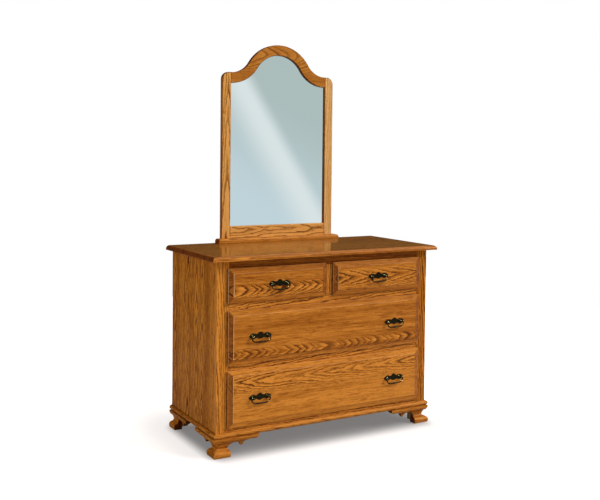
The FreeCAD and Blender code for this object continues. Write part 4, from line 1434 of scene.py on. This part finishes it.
@dataclass
class Pull:
    """A bail pull: plate, rosettes, posts, nuts and the hanging bail."""

    half_plate: float = 58 * MM
    crown: float = 19 * MM
    plate_thick: float = 2 * MM
    rim: float = 0.5 * MM
    rim_rise: float = 0.3 * MM
    band: float = 1.0 * MM
    half_post: float = 38.1 * MM
    pivot_out: float = 12 * MM
    rosette_sunk: float = 0.2 * MM
    rosette_mm: tuple = (
        (12, 0), (12, 0.7), (11.4, 1.2), (10.4, 1.25), (9.9, 1.0), (9.2, 1.05), (8.6, 1.8), (7.4, 2.4),
        (5.8, 2.6), (5.0, 2.5), (4.4, 3.0), (3.6, 4.0), (3.2, 5.2),
    )
    head: float = 4.8 * MM
    head_starts: float = -50
    head_step: float = 17
    head_rings: int = 9
    bolt: float = 2.1 * MM
    bolt_tip: float = 1.6 * MM
    bolt_past: float = 4.2 * MM
    nut: float = 5.5 * MM
    nut_thick: float = 3 * MM
    nut_ease: float = 0.4 * MM
    wire: float = 2.9 * MM
    bail_in: float = 4.1 * MM
    bail_out: float = 9.2 * MM
    drop: float = 26 * MM
    shoulder: float = 5 * MM
    corner: float = 20 * MM
    grip: float = 1.35
    grip_start: float = 1.16
    shoulder_steps: int = 6
    corner_steps: int = 9
    bore_gap: float = 0.1 * MM
    crown_roundness: float = -0.25
    plate_shares: tuple = (
        (0.215, 0.605, 0.25), (0.42, 0.525, -0.30), (0.775, 0.55, -0.15), (1.0, 0.025, -0.15),
        (0.775, -0.55, -0.25), (0.43, -0.475, 0.25), (0.205, -0.50, -0.20),
    )
    drop_share: float = -0.66

    def make_plate(self) -> Piece:
        """The backplate with a raised rim.

        Returns:
            The plate, its back at Y zero and its middle at the origin.
        """
        half = [(0, self.crown, self.crown_roundness)]
        half += [(self.half_plate * across, self.crown * up, bow) for across, up, bow in self.plate_shares]
        corners = half + [(0, self.crown * self.drop_share, self.plate_shares[-1][2])]
        for number, corner in enumerate(reversed(half[1:])):
            corners.append((-corner[0], corner[1], half[-2 - number][2]))
        plate = trace("plate", [(across, 0, up) for across, up in outline(corners, steps=5)])
        with shaping(plate):
            extrude((0, -self.plate_thick, 0))
            pick(Pick.FACES, facing((0, -1, 0)))
            bpy.ops.mesh.inset(thickness=self.rim, depth=self.rim_rise)
            bpy.ops.mesh.inset(thickness=self.band, depth=0)
            bpy.ops.mesh.inset(thickness=self.rim, depth=-2 * self.rim_rise)
        polish(plate, angle=40)
        return plate

    def make_post(self) -> Piece:
        """A rosette and its post, whose ball is bored for the bail.

        Returns:
            The post, its axis through the origin.
        """
        out = self.plate_thick - self.rosette_sunk
        profile = [(radius * MM, out + height * MM) for radius, height in self.rosette_mm]
        for step in range(self.head_rings):
            angle = math.radians(self.head_starts + step * self.head_step)
            profile.append((self.head * math.cos(angle), self.pivot_out + self.head * math.sin(angle)))
        post = turned("post", (0, 0, 0), profile, sides=32)
        deselect_all()
        bpy.ops.mesh.primitive_cylinder_add(
            vertices=24, radius=self.wire + self.bore_gap, depth=4 * self.head,
            location=(0, -self.pivot_out, 0), rotation=(0, QUARTER_TURN, 0),
        )
        carve(post, new_piece("bore_tool"))
        polish(post, angle=38)
        return post

    def make_nut(self, reach: float) -> Piece:
        """The bolt's end and a six-sided nut behind the front.

        Args:
            reach: From the plate's back to the inside of the drawer front.

        Returns:
            The nut with its bolt.
        """
        deselect_all()
        bpy.ops.mesh.primitive_cylinder_add(
            vertices=6, radius=self.nut, depth=self.nut_thick, location=(0, reach + self.nut_thick / 2, 0),
            rotation=(QUARTER_TURN, 0, 0),
        )
        nut = new_piece("nut")
        with shaping(nut):
            bevel(self.nut_ease)
        thread_ends = reach + self.nut_thick
        rings = [(self.bolt_tip, 0), (self.bolt, self.bolt - self.bolt_tip), (self.bolt, thread_ends)]
        stub = turned("bolt", (0, reach + self.bolt_past, 0), rings, sides=16)
        fixing = join([nut, stub], "nut_and_bolt")
        polish(fixing)
        return fixing

    def make_bail(self) -> Piece:
        """The bail, bent from one rod and swollen at the grip.

        Returns:
            The bail, its pivot axis through the origin.
        """
        deselect_all()
        half = self.half_post + self.bail_out
        end = self.half_post - self.bail_in
        bpy.ops.mesh.primitive_circle_add(
            vertices=14, radius=self.wire, fill_type="NGON", location=(-end, 0, 0),
            rotation=(0, QUARTER_TURN, 0),
        )
        bail = new_piece("bail")
        straight = self.drop - self.corner - self.shoulder
        span = 2 * (half - self.corner)
        start, grip = self.grip_start, self.grip

        def bend(centre: Place, steps: int) -> None:
            """Carry the end ring round a bend."""
            bpy.ops.mesh.spin(steps=steps, angle=QUARTER_TURN, center=centre, axis=(0, 1, 0))

        with shaping(bail):
            extrude((end + self.shoulder - half, 0, 0))
            bend((self.shoulder - half, 0, -self.shoulder), self.shoulder_steps)
            extrude((0, 0, -straight))
            bend((self.corner - half, 0, self.corner - self.drop), self.corner_steps)
            for number, share in enumerate((start, grip / start, 1.0, start / grip, 1 / start), 1):
                extrude((span / 6, 0, 0))
                at = (self.corner - half + span * number / 6, 0, -self.drop)
                bpy.ops.transform.resize(value=(1, share, share), center_override=at)
            extrude((span / 6, 0, 0))
            bend((half - self.corner, 0, self.corner - self.drop), self.corner_steps)
            extrude((0, 0, straight))
            bend((half - self.shoulder, 0, -self.shoulder), self.shoulder_steps)
            extrude((end + self.shoulder - half, 0, 0))
            bpy.ops.mesh.select_all(action="SELECT")
            bpy.ops.mesh.remove_doubles(threshold=TOUCHING)
        polish(bail, angle=40)
        return bail


@dataclass
class Drawers:
    """Four drawers with lipped fronts, their boxes and pulls."""

    lip_thick: float = 10 * MM
    lip_gap: float = 0.3 * MM
    bevel_wide: float = 24 * MM
    bevel_rise: float = 7 * MM
    field_rise: float = 2.5 * MM
    lip_over: float = 8 * MM
    side_gap: float = 0.8 * MM
    tongue_deep: float = 9 * MM
    ease: float = 2.2 * MM
    # Lip faces that look further left than this are painted in shade.
    shaded: float = -0.9
    pull: Pull = field(default_factory=Pull)
    fronts: dict[str, WoodFinish] = field(default_factory=lambda: {
        "upper_left": WoodFinish(LEVEL, 101, ring=4.2 * MM, tone=-0.15, pith_across=20 * MM,
                                 pith_depth=260 * MM, taper=0.10, sway=14 * MM, wander=1.0, jag=0.8,
                                 strength=1.2, reach=24 * MM),
        "upper_right": WoodFinish(LEVEL, 104, ring=4 * MM, tone=-0.1, pith_across=-4 * MM,
                                  pith_depth=230 * MM, taper=0.045, sway=20 * MM, wander=1.8, jag=1.0,
                                  strength=1.1, reach=34 * MM),
        "middle": WoodFinish(LEVEL, 109, ring=4.2 * MM, tone=-0.1, pith_across=80 * MM,
                             pith_depth=230 * MM, taper=0.10, sway=22 * MM, wander=1.9, jag=1.0,
                             strength=0.78, reach=22 * MM),
        "lower": WoodFinish(LEVEL, 113, ring=3.6 * MM, tone=0.22, pith_across=-76 * MM,
                            pith_depth=130 * MM, taper=-0.03, sway=30 * MM, wander=3.4, jag=1.1,
                            strength=0.78, reach=44 * MM),
    })
    pulls: dict[str, tuple[str, ...]] = field(default_factory=lambda: {
        "upper_left": ("upper_left",), "upper_right": ("upper_right",),
        "middle": ("middle_left", "middle_right"), "lower": ("lower_left", "lower_right"),
    })

    def build(self) -> None:
        """Make each drawer's front and pulls, and dress its box."""
        self.plate = self.pull.make_plate()
        self.post = self.pull.make_post()
        self.bail = self.pull.make_bail()
        low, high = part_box("upper_left_drawer_front")
        self.nut = self.pull.make_nut(high.y - low.y)
        for seed, (row, finish) in zip(range(121, 141, 5), self.fronts.items()):
            drawer = f"{row}_drawer"
            front = self.make_front(f"{row}_front", f"{drawer}_front")
            dress(front, finish)
            # Painted shade on the left sides of the lips.
            shaded = replace(finish, palette=SHADED_OAK)
            dress_faces(front, shaded, lambda face: face.normal.x < self.shaded)
            stand_in(front, f"{drawer}_front", drawer)
            self.hang_pulls(row, drawer)
            dress_node(f"{drawer}_sides", WoodFinish(Grain.ALONG_Y_FACING_X, seed, INNER_WOOD, strength=0.45))
            dress_node(f"{drawer}_back", WoodFinish(LEVEL, seed + 1, INNER_WOOD, strength=0.45))
            dress_node(f"{drawer}_bottom", WoodFinish(Grain.ALONG_X_FACING_Z, seed + 2, PLYWOOD, ring=9 * MM,
                                                      pith_depth=100 * MM, strength=0.45))
        for pattern in (self.plate, self.post, self.bail, self.nut):
            bpy.data.objects.remove(pattern)

    def make_front(self, name: str, node: str) -> Piece:
        """A lipped front with a bevelled border and a raised field.

        Args:
            name: The piece's name.
            node: The CAD node that it replaces.

        Returns:
            The front.
        """
        low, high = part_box(node)
        lip_back = high.y - self.tongue_deep - self.lip_gap
        lip_front = lip_back - self.lip_thick
        front = add_block(name, (low.x, lip_front, low.z), (high.x, lip_back, high.z))
        with shaping(front):
            pick(Pick.FACES, facing((0, 1, 0)))
            bpy.ops.mesh.inset(thickness=self.lip_over + self.side_gap, depth=0)
            extrude((0, high.y - lip_back, 0))
            pick(Pick.FACES, facing((0, -1, 0)))
            bpy.ops.mesh.inset(thickness=self.bevel_wide, depth=self.bevel_rise)
            extrude((0, -self.field_rise, 0))
            pick(Pick.EDGES, sharp)
            bevel(self.ease, segments=3)
            mark_painted_edge_light()
        polish(front, angle=12)
        return front

    def hang_pulls(self, row: str, drawer: str) -> None:
        """Hang the pulls of one drawer, with the plates, posts and nuts as one piece.

        Args:
            row: The drawer's row.
            drawer: Its body.
        """
        low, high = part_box(f"{drawer}_front")
        parts = []
        for pull in self.pulls[row]:
            bail_low, bail_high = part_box(f"{pull}_bail")
            centre = Vector(((bail_low.x + bail_high.x) / 2, low.y, (low.z + high.z) / 2))
            parts.append(twin(self.plate, f"{pull}_plate", Matrix.Translation(centre)))
            for side in (-1, 1):
                post_at = centre + Vector((side * self.pull.half_post, 0, 0))
                parts.append(twin(self.post, f"{pull}_post", Matrix.Translation(post_at)))
                parts.append(twin(self.nut, f"{pull}_nut", Matrix.Translation(post_at)))
            pivot = centre - Vector((0, self.pull.pivot_out, 0))
            bail = twin(self.bail, f"{pull}_swinging_bail", Matrix.Translation(pivot))
            dress(bail, BRASS)
            stand_in(bail, f"{pull}_bail", f"{pull}_handle")
        plates = join(parts, f"{row}_plates_and_posts")
        dress(plates, BRASS)
        stand_in(plates, f"{drawer}_pull_plates", drawer)


@dataclass
class MirrorFrame:
    """The fixed mirror: base strip, frame, glass, back board and braces."""

    strip_round: float = 12 * MM
    strip_roundness: float = 0.40
    strip_under: float = 0.8 * MM
    rail_high: float = 62 * MM
    shoulder_flat: float = 2 * MM
    arch_rise: float = 155 * MM
    hollow_radius: float = 121 * MM
    arch_band: float = 55 * MM
    stile_round: float = 38 * MM
    rabbet: float = 9 * MM
    glass_back: float = 12 * MM
    rounding: float = 4 * MM
    face: float = 0.93
    arch_steps: int = 16

    def build(self) -> None:
        """Make the strip and the frame, and dress the rest."""
        strip = rounded_slab("mirror_strip", "mirror_base_strip", self.strip_round, self.strip_round,
                             self.strip_roundness, self.strip_under)
        dress(strip, WoodFinish(Grain.ALONG_X_FACING_Z, 81, pith_across=40 * MM, taper=0.02, tone=0.35))
        stand_in(strip, "mirror_base_strip")
        self.low, self.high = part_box("mirror_left_stile")
        self.make_stiles()
        self.make_bottom_rail()
        self.make_arch()
        dress_node("mirror_glass", SILVERED)
        dress_node("mirror_back_board", BACK_BOARD)
        dress_node("mirror_braces", WoodFinish(UPRIGHT, 86, INNER_WOOD, strength=0.5))
        dress_node("brace_screws", STEEL)

    def round_front_edges(self, piece: Piece, joints: Sequence[tuple[int, float]]) -> None:
        """Round the edges of the frame's face, but not where it meets another piece.

        Args:
            piece: A piece of the frame.
            joints: The axis and level of each plane in which it meets another.
        """
        with shaping(piece):
            pick(Pick.EDGES, lambda edge: lies_at(edge, Y, self.low.y) and sharp(edge)
                 and not any(lies_at(edge, axis, level) for axis, level in joints))
            bevel(self.rounding, segments=5)
        polish(piece, angle=24)

    def shade_edges(self, piece: Piece, grain: Grain) -> None:
        """Paint the edges of a frame piece darker than its face, as painted shade."""
        dress_faces(piece, WoodFinish(grain, 230, SHADED_OAK), lambda face: abs(face.normal.y) < self.face)

    def make_stiles(self) -> None:
        """Uprights with a rounded top corner."""
        low, high = self.low, self.high
        quarter_round = math.tan(QUARTER_TURN / 4)
        corners = [
            (high.x, low.z), (high.x, high.z), (low.x + self.stile_round, high.z, quarter_round),
            (low.x, high.z - self.stile_round), (low.x, low.z),
        ]
        left = sawn("mirror_left_upright", outline(corners, steps=10), low.y, high.y - low.y)
        rabbet_low = (high.x - self.rabbet, low.y + self.glass_back, low.z + self.rail_high - self.rabbet)
        rabbet_high = (high.x + OVERRUN, high.y + OVERRUN, high.z - self.arch_band + self.rabbet)
        carve(left, add_block("rabbet_tool", rabbet_low, rabbet_high))
        self.round_front_edges(left, [(Z, low.z)])
        right = twin(left, "mirror_right_upright", FLIP)
        dress(left, WoodFinish(UPRIGHT, 201, PALE_OAK, ring=5 * MM, pith_across=6 * MM, taper=0.02,
                               wander=2.4, strength=1.0, reach=90 * MM))
        # The right upright is painted lighter, a painted reflection of a light.
        dress(right, WoodFinish(UPRIGHT, 205, PAINTED_SHEEN_OAK, ring=5 * MM, pith_across=-40 * MM, taper=-0.02,
                                tone=0.05, strength=0.25))
        for piece, node in ((left, "mirror_left_stile"), (right, "mirror_right_stile")):
            self.shade_edges(piece, UPRIGHT)
            stand_in(piece, node)

    def make_bottom_rail(self) -> None:
        """The lower rail between the uprights, rounded along its upper edge."""
        low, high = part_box("mirror_bottom_rail")
        rail = add_block("mirror_lower_rail", low, high)
        rabbet_low = (low.x - OVERRUN, low.y + self.glass_back, high.z - self.rabbet)
        rabbet_high = (high.x + OVERRUN, high.y + OVERRUN, high.z + OVERRUN)
        carve(rail, add_block("rabbet_tool", rabbet_low, rabbet_high))
        self.round_front_edges(rail, [(X, low.x), (X, high.x), (Z, low.z)])
        dress(rail, WoodFinish(LEVEL, 209, PALE_OAK, ring=5 * MM, pith_across=-10 * MM, taper=0.02,
                               wander=3.0, strength=0.8, tone=0.1))
        stand_in(rail, "mirror_bottom_rail")

    def arch_line(self, inset: float) -> list[Vector]:
        """The arch from its right end to its left, everywhere an inset inside its outer edge.

        Args:
            inset: How far inside.

        Returns:
            Points across and up.
        """
        half = -self.high.x
        shoulder = self.high.z
        centre_x = half - self.shoulder_flat
        reach = (centre_x**2 + self.arch_rise**2) / (2 * self.arch_rise)
        outer = reach - self.hollow_radius
        crown_z = shoulder + self.arch_rise - outer
        centre_z = shoulder + self.hollow_radius
        tilt = math.atan2(centre_z - crown_z, centre_x)
        points = [Vector((half, shoulder - inset))]
        hollow = self.hollow_radius + inset
        steps = self.arch_steps
        for step in range(steps + 1):
            angle = -math.pi / 2 - (math.pi / 2 - tilt) * step / steps
            points.append(Vector((centre_x + hollow * math.cos(angle), centre_z + hollow * math.sin(angle))))
        crown = outer - inset
        for step in range(1, 2 * steps):
            angle = tilt + (math.pi - 2 * tilt) * step / (2 * steps)
            points.append(Vector((crown * math.cos(angle), crown_z + crown * math.sin(angle))))
        points += [Vector((-point.x, point.y)) for point in reversed(points[:steps + 2])]
        return points

    def make_arch(self) -> None:
        """The arched upper rail."""
        low, high = self.low, self.high
        line = self.arch_line(0) + self.arch_line(self.arch_band)[::-1]
        arch = sawn("mirror_arch", line, low.y, high.y - low.y)
        step = self.arch_line(self.arch_band - self.rabbet)
        base = high.z - 2 * self.arch_band
        right, left = step[0].x + OVERRUN, step[-1].x - OVERRUN
        line = [(right, base), (right, step[0].y), *step, (left, step[-1].y), (left, base)]
        carve(arch, sawn("arch_tool", line, low.y + self.glass_back, high.y - low.y))
        self.round_front_edges(arch, [(X, high.x), (X, -high.x)])
        dress(arch, WoodFinish(LEVEL, 215, ARCH_OAK, ring=8 * MM, pith_across=-50 * MM, taper=0.14,
                               wander=1.6, jag=0.4, strength=0.65, reach=80 * MM))
        self.shade_edges(arch, LEVEL)
        stand_in(arch, "mirror_arch_rail")


# The picture


@dataclass(frozen=True)
class Sun:
    """A broad light from far away."""

    name: str
    strength: float
    comes_from: Place
    width: float

    def hang(self) -> None:
        """Put the light in the scene."""
        sun = bpy.data.lights.new(self.name, "SUN")
        sun.energy = self.strength
        sun.angle = math.radians(self.width)
        lamp = bpy.data.objects.new(self.name, sun)
        lamp.rotation_euler = Vector(self.comes_from).to_track_quat("Z", "Y").to_euler()
        bpy.context.scene.collection.objects.link(lamp)


@dataclass(frozen=True)
class SoftBox:
    """A soft box that adds highlights and no other light, to some pieces or to all."""

    name: str
    strength: float
    spot: Place
    size: tuple[float, float]
    lit_endings: tuple[str, ...] = ()
    aim: Place = (0, 0, 0.7)

    def hang(self) -> None:
        """Put the box in the scene, and keep its light to the pieces whose names end as given."""
        box = bpy.data.lights.new(self.name, "AREA")
        box.shape = "RECTANGLE"
        box.size, box.size_y = self.size
        box.energy = self.strength
        lamp = bpy.data.objects.new(self.name, box)
        lamp.location = self.spot
        lamp.rotation_euler = (Vector(self.spot) - Vector(self.aim)).to_track_quat("Z", "Y").to_euler()
        lamp.visible_diffuse = False
        lamp.visible_camera = False
        bpy.context.scene.collection.objects.link(lamp)
        if self.lit_endings:
            lit = bpy.data.collections.new(f"lit_by_{self.name}")
            for piece in bpy.context.scene.objects:
                if piece.name.endswith(self.lit_endings):
                    lit.objects.link(piece)
            lamp.light_linking.receiver_collection = lit


@dataclass(frozen=True)
class Card:
    """A dark upright card, which only shows in polished surfaces."""

    name: str
    centre: Place
    size: tuple[float, float]
    yaw: float

    def stand(self) -> None:
        """Put the card in the scene."""
        deselect_all()
        bpy.ops.mesh.primitive_plane_add(size=1)
        card = new_piece(self.name)
        with shaping(card):
            bpy.ops.transform.resize(value=(*self.size, 1), center_override=(0, 0, 0))
        upright = Matrix.Rotation(math.radians(self.yaw), 4, "Z") @ Matrix.Rotation(QUARTER_TURN, 4, "X")
        card.data.transform(Matrix.Translation(self.centre) @ upright)
        dress(card, CardCloth())
        for ray in ("camera", "diffuse", "shadow", "transmission"):
            setattr(card, f"visible_{ray}", False)
        log.info("%s stands in the studio", self.name)


@dataclass
class Studio:
    """Camera, lights, floor and the cards that the polished top mirrors."""

    eye: Place = (-2.20295, -3.85956, 1.38258)
    yaw: float = -0.525942
    pitch: float = 0.034103
    roll: float = 0.009922
    lens: float = 52.94
    shift: tuple[float, float] = (-0.0159, -0.1125)
    farthest: float = 200
    ambient: float = 0.34
    floor_size: float = 8
    cards: tuple[Card, ...] = (
        Card("rear_card", (0, 2.4, 1.7), (9, 3.4), 0),
        Card("front_card", (20.2, -34.5, 13.2), (26, 13.4), 30.3),
    )
    lamps: tuple[Sun | SoftBox, ...] = (
        Sun("key", 3.0, (0.679, -0.476, 0.559), 28),
        Sun("fill", 0.5, (-1.0, 0.2, 0.3), 40),
        SoftBox("upper_box", 15.0, (1.7, -0.5, 3.6), (2.2, 0.6)),
        SoftBox("left_box", 1400.0, (-3.6, 0.3, 0.5), (0.8, 0.7), ("_front",)),
        SoftBox("glint_box", 24000.0, (-6.0, -6.6, 9.0), (1.0, 1.0), ("_swinging_bail", "_plates_and_posts")),
    )

    def build(self) -> None:
        """Set up the picture."""
        bpy.context.scene.view_settings.view_transform = "Standard"
        self.make_camera()
        self.make_world()
        self.make_floor()
        for card in self.cards:
            card.stand()
        for lamp in self.lamps:
            lamp.hang()

    def make_camera(self) -> None:
        """The camera at the photograph's place."""
        data = bpy.data.cameras.new("camera")
        data.lens = self.lens
        data.sensor_width = 36
        data.sensor_fit = "HORIZONTAL"
        data.shift_x, data.shift_y = self.shift
        data.clip_end = self.farthest
        camera = bpy.data.objects.new("camera", data)
        bpy.context.scene.collection.objects.link(camera)
        turn = (Matrix.Rotation(self.yaw, 4, "Z") @ Matrix.Rotation(math.pi / 2 - self.pitch, 4, "X")
                @ Matrix.Rotation(self.roll, 4, "Z"))
        camera.matrix_world = Matrix.Translation(self.eye) @ turn
        bpy.context.scene.camera = camera

    def make_world(self) -> None:
        """White where it is seen, and a softer level where it lights."""
        world = bpy.data.worlds.new("studio")
        bpy.context.scene.world = world
        world.use_nodes = True
        wires = Wiring(world.node_tree)
        strength = wires.maths("MULTIPLY_ADD", wires.seen_directly(), 1 - self.ambient, self.ambient)
        wires.feed(world.node_tree.nodes["Background"].inputs, {"Color": (1, 1, 1), "Strength": strength})

    def make_floor(self) -> None:
        """A pale floor with a painted shadow around the piece."""
        deselect_all()
        bpy.ops.mesh.primitive_plane_add(size=self.floor_size)
        floor = new_piece("floor")
        dress(floor, FloorPaint())
        log.info("floor laid")


def main() -> None:
    """Build the dresser and its studio."""
    logging.basicConfig(level=logging.INFO, format="%(message)s")
    for part in (Case(), Base(), Drawers(), MirrorFrame(), Studio()):
        part.build()
        log.info("%s done", type(part).__name__)
    deselect_all()


if __name__ == "__main__":
    main()
